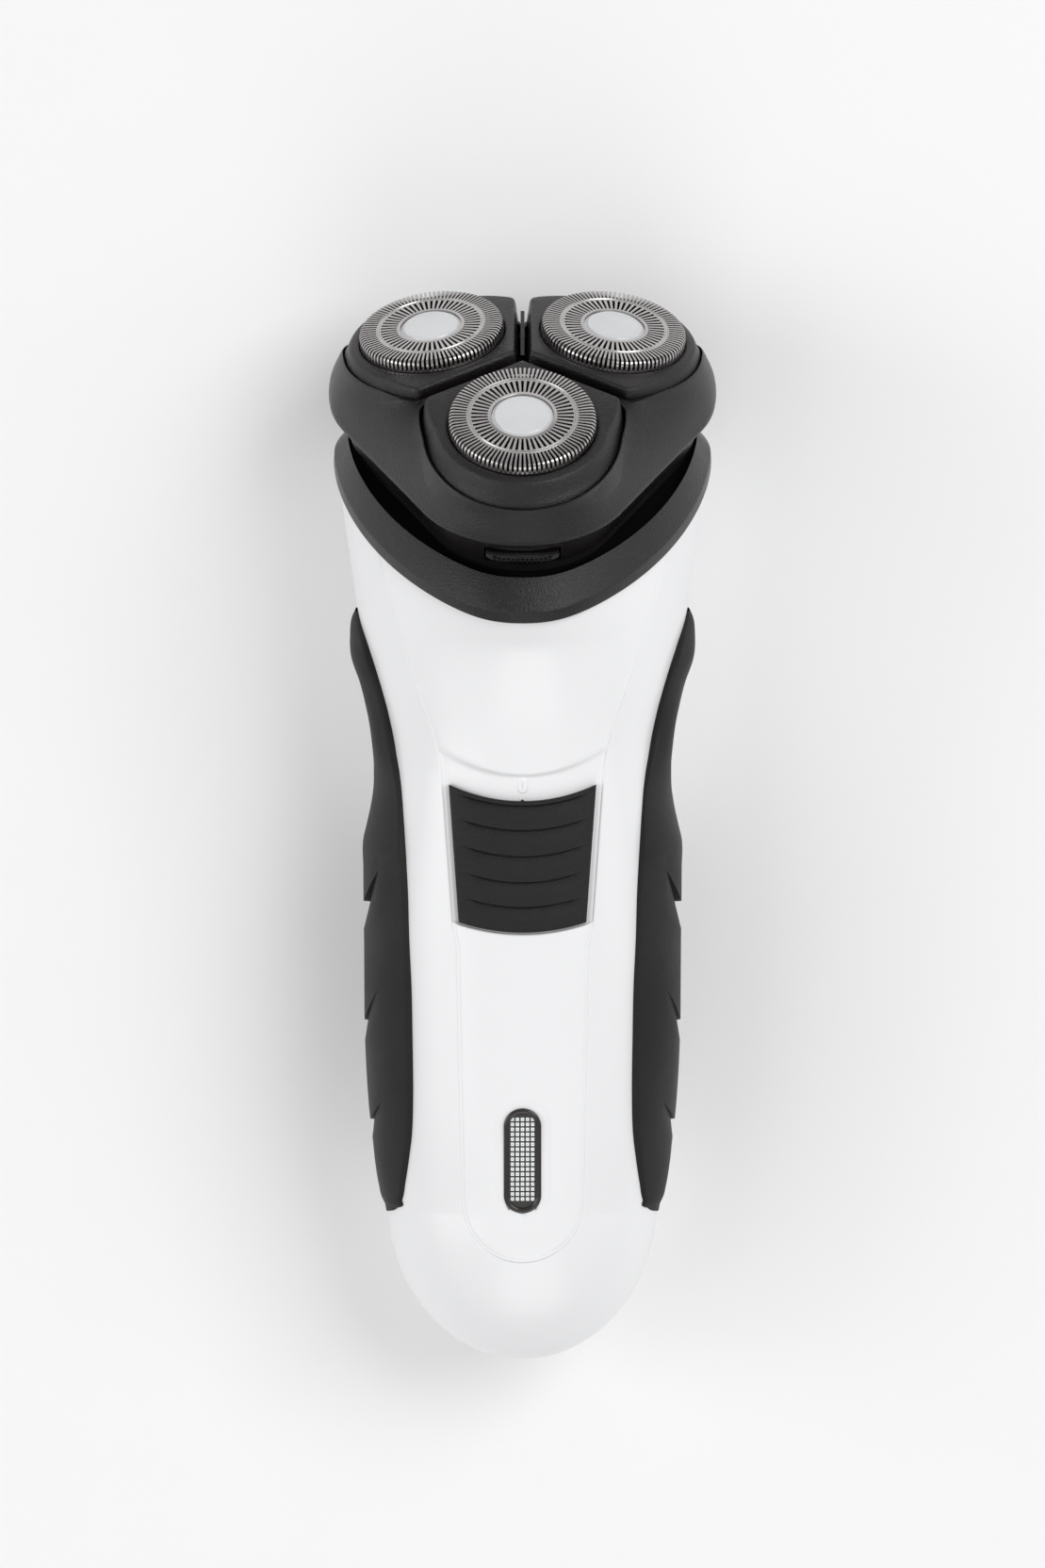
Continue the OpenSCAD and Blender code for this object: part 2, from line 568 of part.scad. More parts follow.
module pod(k) color(black) at_pod(k) difference() {
    union() {
        skin([pod_ring(0.3, 0.2, -pod_h), pod_ring(0, 0, -pod_h + 0.5), pod_ring(2.2, 0, -pod_top - 0.4),
            pod_ring(2.6, 0.35, -pod_top)]);
        for (y = [-1, 1]) translate([-1.6, y * pivot_at - 0.6, -drive_h - 0.9]) cube([3.2, 1.2, 3]);
    }
    translate([0, 0, -pod_h - 1]) cylinder(r = cap_r + 0.15, h = pod_h + 1);
    translate([0, 0, -pod_h - 1]) cylinder(r = flange_r + 0.15, h = pod_h + 1 - seat_h);
    rotate([90, 0, 0]) translate([0, -drive_h, 0]) cylinder(r = ear_r + running, h = 40, center = true);
}
module pod_front() pod(0);
module pod_right() pod(1);
module pod_left() pod(2);

// A cap: slotted top with two tracks and a groove between them, over a side with a flange
track_in = 5.2;
groove_r = 0.727 * cap_r;
module cap(k) color(steel) at_pod(k) difference() {
    rotate_extrude($fn = 72) polygon([[0, -0.4], [badge_r + 0.1, -0.4], [badge_r + 0.1, 0], [groove_r - 0.2, 0],
        [groove_r - 0.1, -0.2], [groove_r + 0.1, -0.2], [groove_r + 0.2, 0], [cap_r - 0.7, 0],
        [cap_r - 0.2, -0.25], [cap_r, -0.8], [cap_r, -cap_h], [flange_r, -cap_h], [flange_r, -cap_h - 0.8],
        [cap_r - 0.5, -cap_h - 0.8], [cap_r - 0.5, -1], [cap_r - 0.9, -cap_top], [track_in, -cap_top],
        [track_in, -cap_top - 0.3], [0, -cap_top - 0.3]]);
    for (i = [0 : outer_slots - 1]) rotate([0, 0, 360 * i / outer_slots])
        translate([groove_r + 0.45, -0.2, -1.7]) cube([cap_r - groove_r, 0.4, 2]);
    for (i = [0 : inner_slots - 1]) rotate([0, 0, 360 * i / inner_slots])
        translate([track_in + 0.1, -0.2, -0.8]) cube([groove_r - track_in - 0.5, 0.4, 1]);
}
module cap_front() cap(0);
module cap_right() cap(1);
module cap_left() cap(2);
module badge(k) color(white) at_pod(k) translate([0, 0, -0.4]) rotate_extrude()
    polygon([[0, 0], [badge_r, 0], [badge_r, 0.4], [badge_r - 0.25, 0.6], [0, 0.6]]);
module badge_front() badge(0);
module badge_right() badge(1);
module badge_left() badge(2);

// A cutter: upright blades on a wheel, and two dogs that its spindle's key drives
wheel_h = 4.6;
hub_r = 2.9;
hub_h = drive_h - 1.3;
module cutter(k) color(steel) at_pod(k) {
    translate([0, 0, -wheel_h]) difference() {
        cylinder(r = cap_r - 1.3, h = 0.6);
        for (a = [0 : 60 : 300]) rotate([0, 0, a]) translate([5.2, 0, -1]) cylinder(r = 1.1, h = 3);
    }
    translate([0, 0, -hub_h]) cylinder(r = hub_r, h = hub_h - 1.4);
    for (i = [0 : blades - 1]) rotate([0, 0, 360 * (i + 0.5) / blades])
        translate([cap_r - 5.4, -0.25, -wheel_h + 0.3]) cube([4, 0.5, wheel_h - 1.15]);
    rotate([0, 0, -DIRECTIONS[k]]) intersection() {
        translate([0, 0, -hub_h - 1.6]) cylinder(r = hub_r - 0.05, h = 2);
        for (x = [-1, 1]) translate([x * 2.25 - 0.75, -1, -hub_h - 1.6]) cube([1.5, 2, 2]);
    }
}
module cutter_front() cutter(0);
module cutter_right() cutter(1);
module cutter_left() cutter(2);

// The ring that holds a cap and its cutter in their pod
module retainer(k) color("dimgray") at_pod(k) {
    translate([0, 0, -pod_h + 0.15]) difference() {
        cylinder(r = flange_r + 0.05, h = pod_h - cap_h - 1);
        translate([0, 0, -1]) cylinder(r = cap_r - 0.4, h = 4);
    }
    translate([0, 0, -pod_h + 0.15]) difference() {
        union() {
            cylinder(r = 4.6, h = 0.8);
            for (a = [0, 120, 240]) rotate([0, 0, a]) translate([0, -0.8, 0]) cube([cap_r, 1.6, 0.8]);
        }
        translate([0, 0, -1]) cylinder(r = hub_r + 0.6, h = 3);
    }
}
module retainer_front() retainer(0);
module retainer_right() retainer(1);
module retainer_left() retainer(2);

// The frame round the pods: a flared skirt, a top that follows the pods, and the spider under them
FRAME = [[15.85, 7.4], [16.5, 7.1], [17.1, 10.5], [rim_r, rim_h - 0.7], [rim_r - 0.15, rim_h],
    [neck_r + 0.1, rim_h + 1], [neck_r, 19], [neck_r - 1.2, 19], [neck_r - 1.1, 11.9], [15.85, 10.2]];
spider_top = 9.8;
spider_t = 1.2;
rib_t = 0.6;
module head_frame() color(black) difference() {
    union() {
        at_head() skin([for (p = [len(FRAME) - 1 : -1 : 0]) lobes(FRAME[p][0], FRAME[p][1])], loop = true);
        difference() {
            at_head() translate([0, 0, -8.8]) linear_extrude(1.4) polygon(flat(lobes(16.2, 8.8)));
            for (k = [0:2]) at_pod(k) translate([0, 0, -12]) linear_extrude(8)
                polygon(flat(pod_ring(0, -pod_gap, 0)));
        }
        at_head() translate([0, 0, -spider_top - spider_t]) linear_extrude(spider_t) difference() {
            polygon(flat(lobes(neck_r - 0.6, spider_top)));
            for (a = DIRECTIONS) rotate([0, 0, a]) translate([drive_r, 0]) circle(10.4);
        }
        for (a = DIRECTIONS) at_head() rotate([0, 0, a + 60]) translate([5, -rib_t / 2, -spider_top - 0.5])
            cube([17, rib_t, spider_top - 2.9]);
        for (k = [0:2]) for (y = [-1, 1]) at_pod(k) {
            translate([-1.4, y * 14.4 - 0.5, -spider_top - 1]) cube([2.8, 1, spider_top + 1.6 - drive_h]);
            translate([0, y * 14.6, -drive_h]) rotate([y * 90, 0, 0]) cylinder(r = ear_r, h = 2.4);
        }
        for (x = [-1, 1]) at_hinge() translate([0, 0, x * (knuckle_half + 2.1)]) {
            cylinder(r = knuckle_r, h = 3.4, center = true);
            translate([-knuckle_r, -2, -1.7]) cube([knuckle_r, 2, 3.4]);
        }
    }
    at_head() translate([-knuckle_half - 0.3, hinge_y - 4, -21]) cube([2 * knuckle_half + 0.6, 8, 6]);
    at_hinge() cylinder(r = pin_r, h = 40, center = true);
    at_tab() translate([-tab_half - 0.3, -3, -2])
        cube([2 * tab_half + 0.6, tab_deep + tab_travel + 3.3, tab_tall + 2.4]);
}
module hinge_pin() color(steel) at_hinge() cylinder(r = pin_r, h = 2 * (knuckle_half + 3.8), center = true);

// The ribbed tab under the rim's front
tab_half = 5.5;
tab_tall = 2.6;
tab_travel = 0.8;
tab_deep = 3.7;
tab_teeth = 12;
module at_tab() at_head() translate([0, -ring_r + 17 * tan(pod_tilt) - neck_r - 0.2, -18.6]) children();
module release_tab() color(black) at_tab() {
    translate([-tab_half, 0, 0]) cube([2 * tab_half, 1.4, tab_tall]);
    translate([-tab_half + 0.4, 1.3, 0.6]) cube([2 * tab_half - 0.8, tab_deep - 1.3, 1.2]);
    for (i = [0 : tab_teeth - 1]) translate([(i - (tab_teeth - 1) / 2) * 2 * (tab_half - 0.4) / tab_teeth, -0.05, 0])
        cylinder(r = 0.3, h = 1.5, $fn = 16);
}

front_shell();
rear_shell();
fascia();
collar();
grip_left();
grip_right();
charge_bezel();
charge_lens();
charge_led();
circuit_board();
slide_switch();
switch_button();
battery_cells();
battery_contacts();
inlet_socket();
inlet_pins();
case_screws();
rubber_feet();
drive_deck();
deck_seal();
gear_chassis();
motor_can();
motor_rotor();
pinion();
gear_front();
gear_right();
gear_left();
spindle_front();
spindle_right();
spindle_left();
head_frame();
hinge_pin();
release_tab();
pod_front();
pod_right();
pod_left();
cap_front();
cap_right();
cap_left();
badge_front();
badge_right();
badge_left();
cutter_front();
cutter_right();
cutter_left();
retainer_front();
retainer_right();
retainer_left();
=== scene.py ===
import math
import bpy
import bmesh
import numpy as np
from mathutils import Matrix, Vector


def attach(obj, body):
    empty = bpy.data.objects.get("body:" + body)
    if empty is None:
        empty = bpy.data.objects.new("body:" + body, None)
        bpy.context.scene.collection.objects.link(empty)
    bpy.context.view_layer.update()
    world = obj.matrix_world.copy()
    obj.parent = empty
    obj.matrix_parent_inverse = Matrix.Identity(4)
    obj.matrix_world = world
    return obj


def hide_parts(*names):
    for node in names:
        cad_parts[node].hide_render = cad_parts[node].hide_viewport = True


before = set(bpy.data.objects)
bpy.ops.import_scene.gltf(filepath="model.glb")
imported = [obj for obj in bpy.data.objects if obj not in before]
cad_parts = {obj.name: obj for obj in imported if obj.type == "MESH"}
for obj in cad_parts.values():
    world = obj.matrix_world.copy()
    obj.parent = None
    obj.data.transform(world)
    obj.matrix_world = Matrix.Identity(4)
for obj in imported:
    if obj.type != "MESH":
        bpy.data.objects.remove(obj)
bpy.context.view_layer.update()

MM = 0.001
TINY = 1e-9

# ---- the handle's law, the same as in the part's source (mm) ----
# The tail's tip, the handle's length, the tail dome's length and height, and the neck's lean in degrees
TAIL_Y, LENGTH, TAIL_LEN, TAIL_Z, LEAN = -83.87, 141.4, 24.7, 20.0, 34.0
# How far the feet stand out below the flat of the back
FOOT_OUT = 0.4
# Each section's share of the length, its middle's height, its lean, half width, reach to the front and
# to the back, and how square its front and its back are
SECTIONS = np.array([
    [0.175, 19.2, 0, 21.2, 16.8, 19.6, 2.1, 2.3], [0.288, 18.6, 0, 22.2, 19.6, 19.4, 2.3, 2.5],
    [0.465, 18.2, 0, 23.2, 22.1, 19.2, 2.4, 2.6], [0.606, 18.0, 1.5, 22.3, 23.6, 19.0, 2.4, 2.6],
    [0.698, 17.8, 5, 21.8, 24.9, 18.7, 2.35, 2.5], [0.783, 17.6, 11, 24.4, 27.7, 18.0, 2.2, 2.4],
    [0.867, 17.3, 19, 26.4, 31.9, 17.3, 2.0, 2.3], [0.937, 16.9, 27, 27.8, 37.2, 16.6, 1.85, 2.1],
    [1.0, 16.5, 34, 29.0, 42.5, 15.8, 1.7, 2.0]])
LAST = len(SECTIONS) - 1
PADDED = np.vstack([2 * SECTIONS[0] - SECTIONS[1], SECTIONS, 2 * SECTIONS[-1] - SECTIONS[-2]])


def law(s):
    """The section s: a smooth curve through SECTIONS, and the tail's dome from 0 down to -1."""
    s = np.asarray(s, float)
    i = np.clip(np.floor(s), 0, LAST - 1).astype(int)
    t = (np.maximum(s, 0) - i)[..., None]
    a, b, c, d = PADDED[i], PADDED[i + 1], PADDED[i + 2], PADDED[i + 3]
    r = 0.5 * (2 * b + (c - a) * t + (2 * a - 5 * b + 4 * c - d) * t ** 2 + (3 * b - a - 3 * c + d) * t ** 3)
    r[..., 0] = TAIL_Y + r[..., 0] * LENGTH
    turn = np.radians(90 * (1 + np.minimum(s, 0)))
    f, dome = np.sin(turn), s < 0
    r[..., 0] = np.where(dome, TAIL_Y + SECTIONS[0, 0] * LENGTH - TAIL_LEN * np.cos(turn), r[..., 0])
    r[..., 1] = np.where(dome, TAIL_Z + (SECTIONS[0, 1] - TAIL_Z) * f, r[..., 1])
    for k in (3, 4, 5):
        r[..., k] *= np.where(dome, f, 1)
    return r


def power(v, n):
    """A sine or cosine turned into a coordinate of a rounded square; n is 2 for a circle."""
    return np.sign(v) * np.abs(v) ** (2 / n)


def edge(s, angle, g=0.0):
    """Points of the handle's skin: angle 0 is at +X and 90 at the front; grown outwards by g."""
    s, angle, g = np.broadcast_arrays(np.asarray(s, float), np.asarray(angle, float), g)
    r, t = law(s), np.radians(angle)
    front = np.sin(t) > -TINY
    n, reach = np.where(front, r[..., 6], r[..., 7]), np.where(front, r[..., 4], r[..., 5])
    lean = np.radians(r[..., 2])
    v = (reach + g) * power(np.where(np.abs(np.sin(t)) < TINY, 0, np.sin(t)), n)
    x = (r[..., 3] + g) * power(np.where(np.abs(np.cos(t)) < TINY, 0, np.cos(t)), n)
    z = np.maximum(r[..., 1] + v * np.cos(lean), FOOT_OUT - np.minimum(g, 0))
    return np.stack([x, r[..., 0] - v * np.sin(lean), z], -1)


def front_at(x, y):
    """Height of the handle's front over the plan point x, y, found by halving."""
    x, y = np.broadcast_arrays(np.asarray(x, float), np.asarray(y, float))
    low, high = np.full(x.shape, -1.0), np.full(x.shape, LAST + 0.2)

    def at(s):
        r = law(s)
        n = r[..., 6]
        share = np.minimum(np.abs(x) / np.maximum(r[..., 3], 1e-6), 1)
        v = r[..., 4] * np.maximum(1 - share ** n, 0) ** (1 / n)
        lean = np.radians(r[..., 2])
        return r[..., 0] - v * np.sin(lean), r[..., 1] + v * np.cos(lean)
    for _ in range(36):
        mid = (low + high) / 2
        up = at(mid)[0] < y
        low, high = np.where(up, mid, low), np.where(up, high, mid)
    return at((low + high) / 2)[1]


def ramp(v, low, high):
    return np.clip((v - low) / (high - low), 0, 1)


def smooth(v, low, high):
    t = ramp(v, low, high)
    return t * t * (3 - 2 * t)


def roll(d, r):
    """Depth of a rounded edge of radius r at the distance d from the edge."""
    return r - np.sqrt(np.maximum(r * r - (r - np.clip(d, 0, r)) ** 2, 0))


def circle(steps):
    return np.radians(np.arange(steps) * 360 / steps)


def from_ends(p):
    """Distance of each point from the nearer end of its row."""
    return np.minimum(np.linalg.norm(p - p[:, :1], axis=-1), np.linalg.norm(p - p[:, -1:], axis=-1))


# ---- meshes ----
def new_object(name, mesh, slot, body, sharp=35, replaces=(), matter=()):
    """A piece that rides on a body, in the slot's own finish unless matter gives others."""
    mesh.shade_smooth()
    mesh.set_sharp_from_angle(angle=math.radians(sharp))
    obj = bpy.data.objects.new(name, mesh)
    bpy.context.scene.collection.objects.link(obj)
    for m in matter or [FINISH[slot]]:
        mesh.materials.append(m)
    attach(obj, body)
    if replaces:
        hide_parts(*replaces)
    return obj


def mesh_of(name, verts, faces, weld=0.004):
    mesh = bpy.data.meshes.new(name)
    bm = bmesh.new()
    vs = [bm.verts.new(v) for v in np.asarray(verts, float) * MM]
    for f in faces:
        try:
            bm.faces.new([vs[i] for i in f])
        except ValueError:
            pass
    bmesh.ops.remove_doubles(bm, verts=bm.verts, dist=weld * MM)
    bmesh.ops.dissolve_degenerate(bm, edges=bm.edges, dist=weld * 0.5 * MM)
    bmesh.ops.recalc_face_normals(bm, faces=bm.faces)
    bm.to_mesh(mesh)
    bm.free()
    return mesh


def grid_faces(rows, cols, wrap_rows=False, wrap_cols=False, start=0):
    out = []
    for j in range(rows if wrap_rows else rows - 1):
        for i in range(cols if wrap_cols else cols - 1):
            k, l = (j + 1) % rows, (i + 1) % cols
            out.append(tuple(start + row * cols + col for row, col in ((j, i), (j, l), (k, l), (k, i))))
    return out


class Build:
    """Collects surfaces in mm; place() maps them before they are stored."""

    def __init__(self):
        self.verts, self.faces = [], []

    def add(self, points, place=None):
        """Stores points and returns the number of the first."""
        points = np.asarray(points, float).reshape(-1, 3)
        start = sum(len(v) for v in self.verts)
        self.verts.append(points if place is None else place(points))
        return start

    def grid(self, p, wrap_rows=False, wrap_cols=False, place=None):
        p = np.asarray(p, float)
        self.faces += grid_faces(p.shape[0], p.shape[1], wrap_rows, wrap_cols, self.add(p, place))
        return self

    def cap(self, ring, place=None):
        start = self.add(ring, place)
        self.faces.append(tuple(range(start, start + len(ring))))
        return self

    def block(self, low, high, place=None):
        start = self.add([[(low, high)[b >> k & 1][k] for k in range(3)] for b in range(8)], place)
        self.faces += [tuple(start + i for i in f) for f in
                       ((0, 1, 3, 2), (4, 6, 7, 5), (0, 4, 5, 1), (2, 3, 7, 6), (0, 2, 6, 4), (1, 5, 7, 3))]
        return self

    def mesh(self, name, weld=0.004):
        return mesh_of(name, np.vstack(self.verts), self.faces, weld)


def soften(points, r):
    """The same closed profile with its corners rounded over the length r on each side."""
    p = np.asarray(points, float)
    out = []
    for i in range(len(p)):
        a, b, c = p[i - 1], p[i], p[(i + 1) % len(p)]
        u, v = a - b, c - b
        u = b + u * min(r / np.linalg.norm(u), 0.45)
        v = b + v * min(r / np.linalg.norm(v), 0.45)
        out += [u * (1 - t) ** 2 + 2 * b * t * (1 - t) + v * t * t for t in np.linspace(0, 1, 4)]
    return np.array(out)


def turned(profile, steps=96):
    """Rings of a turned shape from (radius, height) points."""
    return np.array([[[r * math.cos(t), r * math.sin(t), z] for t in circle(steps)] for r, z in profile])


def tool(build):
    """A shape that only cuts."""
    obj = bpy.data.objects.new("tool", build.mesh("tool"))
    bpy.context.scene.collection.objects.link(obj)
    return obj


def cut(obj, *tools):
    """Takes the tools' shapes out of obj and removes them."""
    for t in tools:
        m = obj.modifiers.new("cut", "BOOLEAN")
        m.object, m.operation, m.solver = t, "DIFFERENCE", "EXACT"
    dg = bpy.context.evaluated_depsgraph_get()
    dg.update()
    mesh = bpy.data.meshes.new_from_object(obj.evaluated_get(dg), depsgraph=dg)
    old = obj.data
    obj.modifiers.clear()
    obj.data = mesh
    bpy.data.meshes.remove(old)
    for t in tools:
        bpy.data.objects.remove(t, do_unlink=True)
    obj.data.set_sharp_from_angle(angle=math.radians(35))


# ---- places ----
RIM = law(float(LAST))
# From the rim to the plane of the cap tops, its shift to the front, the pods' distance and tilt, and the
# depth at which the spindles drive
NECK_DEPTH, FORWARD, RING_R, TILT, DRIVE_H = 24.3, 7.1, 16.35, 8.0, 8.0
CL, SL = math.cos(math.radians(LEAN)), math.sin(math.radians(LEAN))
HEAD = np.array([0, RIM[0] + NECK_DEPTH * CL - FORWARD * SL, RIM[1] + NECK_DEPTH * SL + FORWARD * CL])
DIRECTIONS = {"front": -90, "right": 30, "left": 150}
# The head's hinge, in the head's plane and below it, and its arms' places
HINGE_Y, HINGE_H, KNUCKLE_R, ARM_X = 22.7, -17.2, 1.5, 6.7
# Where the release tab lies on the frame's front
TAB_Y = -RING_R + 17 * math.tan(math.radians(TILT)) - 15.2


def at_head(p):
    p = np.asarray(p, float)
    return HEAD + p @ np.array([[1, 0, 0], [0, SL, -CL], [0, CL, SL]])


def spin(degrees):
    d = math.radians(degrees)
    return np.array([[math.cos(d), math.sin(d), 0], [-math.sin(d), math.cos(d), 0], [0, 0, 1]])


def at_pod(k):
    t = math.radians(TILT)
    tilt = np.array([[math.cos(t), 0, -math.sin(t)], [0, 1, 0], [math.sin(t), 0, math.cos(t)]])
    return lambda p: at_head((np.asarray(p, float) @ tilt + [RING_R, 0, 0]) @ spin(DIRECTIONS[k]))


def lobes(r, h, steps=40):
    """A ring of three arcs of radius r round the pods' axes, at the depth h."""
    out = []
    for c in DIRECTIONS.values():
        q, c = RING_R - h * math.tan(math.radians(TILT)), math.radians(c)
        for a in np.radians(np.linspace(-60, 60, steps + 1)):
            out.append([q * math.cos(c) + r * math.cos(c + a), q * math.sin(c) + r * math.sin(c + a), -h])
    return np.array(out)


def egg(w, front, back, h):
    """A ring of the collar: round behind, and fuller at the front's flanks."""
    t = circle(240)
    behind = np.sin(t) >= 0
    full = 1.72
    k = np.where(behind, 2, full + (2 - full) * np.exp(-(np.cos(t) / 0.3) ** 2))
    return np.stack([w * power(np.cos(t), k), FORWARD + np.where(behind, back, front) * power(np.sin(t), k),
                     np.full(len(t), -h)], -1)


def barrel(build, low, high, r):
    """Adds a round bar on the head hinge's axis."""
    ends = np.array([[[x, HINGE_Y + r * math.cos(q), HINGE_H + r * math.sin(q)] for q in circle(48)]
                     for x in (low, high)])
    return build.grid(ends, wrap_cols=True, place=at_head).cap(ends[0], at_head).cap(ends[1], at_head)


# ---- finishes ----
def finish(name, color, rough, metallic=0.0, grain=0.0, size=400.0, coat=0.0, spec=0.5, vary=0.08,
           mottle=0.04):
    """Fine grain in the bump, and a slow drift of tint and gloss over the piece."""
    m = bpy.data.materials.new(name)
    m.use_nodes = True
    nodes, links = m.node_tree.nodes, m.node_tree.links
    s = nodes["Principled BSDF"]
    s.inputs["Metallic"].default_value = metallic
    s.inputs["Coat Weight"].default_value = coat
    s.inputs["Coat Roughness"].default_value = 0.15
    s.inputs["Specular IOR Level"].default_value = spec
    place = nodes.new("ShaderNodeTexCoord")
    noise, cloud = nodes.new("ShaderNodeTexNoise"), nodes.new("ShaderNodeTexNoise")
    for texture, scale, detail in ((noise, size, 3), (cloud, 70, 5)):
        texture.inputs["Scale"].default_value = scale
        texture.inputs["Detail"].default_value = detail
        links.new(place.outputs["Object"], texture.inputs["Vector"])
    bump = nodes.new("ShaderNodeBump")
    bump.inputs["Strength"].default_value = grain
    bump.inputs["Distance"].default_value = 0.0002
    links.new(noise.outputs["Fac"], bump.inputs["Height"])
    links.new(bump.outputs["Normal"], s.inputs["Normal"])
    tint = nodes.new("ShaderNodeMix")
    tint.data_type = "RGBA"
    tint.inputs[6].default_value = (*[c * (1 - vary) for c in color], 1)
    tint.inputs[7].default_value = (*[min(c * (1 + vary), 1) for c in color], 1)
    links.new(cloud.outputs["Fac"], tint.inputs[0])
    links.new(tint.outputs[2], s.inputs["Base Color"])
    gloss = nodes.new("ShaderNodeMapRange")
    for socket, value in (("From Min", 0.35), ("From Max", 0.65),
                          ("To Min", rough - mottle), ("To Max", rough + mottle)):
        gloss.inputs[socket].default_value = value
    links.new(cloud.outputs["Fac"], gloss.inputs["Value"])
    links.new(gloss.outputs["Result"], s.inputs["Roughness"])
    m.diffuse_color = (*color, 1)
    return m


WHITE = {"rough": 0.3, "grain": 0.02, "size": 120, "coat": 0.12, "vary": 0.01, "mottle": 0.02}
BLACK = {"size": 4200, "vary": 0.2, "mottle": 0.06}
LOOKS = {
    "white_shell": ((0.86, 0.862, 0.873), WHITE),
    "white_panel": ((0.88, 0.882, 0.893), WHITE),
    "black_satin": ((0.0075, 0.006, 0.0062), dict(BLACK, rough=0.32, grain=0.6, spec=0.45)),
    "black_button": ((0.006, 0.0048, 0.0048), dict(BLACK, rough=0.48, grain=0.7, spec=0.36)),
    "grip_rubber": ((0.007, 0.0056, 0.0052), dict(BLACK, rough=0.56, grain=0.55, spec=0.33)),
    # Darker and duller than the satin: painted shade deep in the throat, on the collar's inward faces and on
    # the drive deck, which is also black plastic
    "throat_black_painted_shade": ((0.003, 0.0026, 0.0026), dict(BLACK, rough=0.7, grain=0.4, spec=0.1, mottle=0.04)),
    "black_gloss": ((0.02, 0.016, 0.015), dict(rough=0.18, grain=0.02, size=300, coat=0.3)),
    "window_lens": ((0.03, 0.03, 0.028), dict(rough=0.15, grain=0.02, size=300, coat=0.6)),
    "led": ((0.6, 0.66, 0.6), dict(rough=0.4, grain=0.05, size=800)),
    "board": ((0.02, 0.13, 0.05), dict(rough=0.45, grain=0.2, size=900)),
    "dark_plastic": ((0.04, 0.04, 0.042), dict(rough=0.5, grain=0.3, size=1500)),
    "cell_wrap": ((0.05, 0.2, 0.1), dict(rough=0.35, grain=0.1, size=300)),
    "contact_metal": ((0.75, 0.73, 0.68), dict(rough=0.25, metallic=1.0, grain=0.05, size=800)),
    "screw_steel": ((0.5, 0.5, 0.51), dict(rough=0.35, metallic=1.0, grain=0.1, size=900)),
    "deck_plastic": ((0.6, 0.6, 0.59), dict(rough=0.5, grain=0.2, size=1200)),
    "seal_rubber": ((0.009, 0.0085, 0.0085), dict(rough=0.7, grain=0.3, size=1200, spec=0.25)),
    "can_steel": ((0.55, 0.55, 0.55), dict(rough=0.38, metallic=1.0, grain=0.1, size=700)),
    "armature": ((0.3, 0.19, 0.1), dict(rough=0.45, metallic=0.6, grain=0.4, size=900)),
    "gear_plastic": ((0.72, 0.7, 0.62), dict(rough=0.45, grain=0.1, size=900)),
    "cap_steel": ((0.52, 0.5, 0.495), dict(rough=0.25, metallic=1.0, grain=0.15, size=900, vary=0.15,
                                           mottle=0.08)),
    "badge_white": ((0.7, 0.71, 0.72), dict(rough=0.2, grain=0.05, size=500, coat=0.4)),
    # Steel painted almost black: painted shade in the caps' slots, over the cutters seen through them
    "blade_steel": ((0.1, 0.097, 0.094), dict(rough=0.45, metallic=1.0, grain=0.1, size=900)),
}
FINISH = {name: finish(name, color, **look) for name, (color, look) in LOOKS.items()}
LIGHT_CELL = finish("lens_cell", (0.9, 0.92, 0.92), 0.25, grain=0.02, size=300)
DARK_CELL = finish("lens_dot", (0.45, 0.47, 0.47), 0.3, grain=0.02, size=300)
POINTER = finish("pointer_print", (0.02, 0.02, 0.02), 0.5, grain=0.1, size=900)

# ---- the front panel's outline ----
# The button's middle, where the sides start, the radius of the U below them, and the gap all round
SWITCH_Y, LOW, U_R, PANEL_GAP = TAIL_Y + 80.6, TAIL_Y + 27, 9.5, 0.02
SIDE = [(U_R, LOW), (10.25, SWITCH_Y - 13.6), (10.75, SWITCH_Y - 11), (12.75, SWITCH_Y + 17),
        (15.6, SWITCH_Y + 24.9), (20.4, SWITCH_Y + 39.3), (22.1, SWITCH_Y + 46.6), (23.5, SWITCH_Y + 75)]
SIDE_Y = np.linspace(LOW, SIDE[-1][1], 4000)
SHARP_X = np.interp(SIDE_Y, [p[1] for p in SIDE], [p[0] for p in SIDE])
SOFT_X = np.convolve(np.pad(SHARP_X, 120, mode="edge"), np.ones(241) / 241, mode="valid")
SIDE_X = SHARP_X + (SOFT_X - SHARP_X) * smooth(SIDE_Y, SWITCH_Y + 6, SWITCH_Y + 12)
# Depth of the tray that the button slides in, and the place of the pip in it
TRAY, PIP_Y = 0.8, TAIL_Y + 91.95
# The charge window's middle, half the length of its straight sides, and its outer radius
WINDOW_Y, WINDOW_Z, WINDOW_HALF, BEZEL_R = TAIL_Y + 33.6, 37.15, 5.5, 2.9
# Radius of the moulded edges along a seam and along the panel's groove
SEAM_R, EDGE_R = 0.12, 0.2


def panel_side(y):
    round_side = np.sqrt(np.maximum(U_R ** 2 - (LOW - y) ** 2, 0))
    return np.where(y < LOW, round_side, np.interp(y, SIDE_Y, SIDE_X))


def beyond(x, y):
    """Distance of a plan point outside the panel's outline."""
    return np.where(y < LOW, np.hypot(x, y - LOW) - U_R, np.abs(x) - panel_side(y))


def recess_low(x):
    """The tray's lower edge."""
    return TAIL_Y + 69 + 0.0156 * x ** 2


def recess_high(x):
    """The tray's upper edge."""
    return TAIL_Y + 93.5 + 0.0245 * x ** 2


def rim_y(x):
    """The slanted rim, where the panel ends under the collar."""
    v = RIM[4] * np.maximum(1 - np.minimum(np.abs(x) / RIM[3], 1) ** RIM[6], 0) ** (1 / RIM[6])
    return RIM[0] - v * SL


S_FINE = np.linspace(-1, 1.2, 4000)


def s_of(y):
    """The section whose plane is at the distance y, where the handle doesn't lean."""
    return np.interp(y, law(S_FINE)[..., 0], S_FINE)


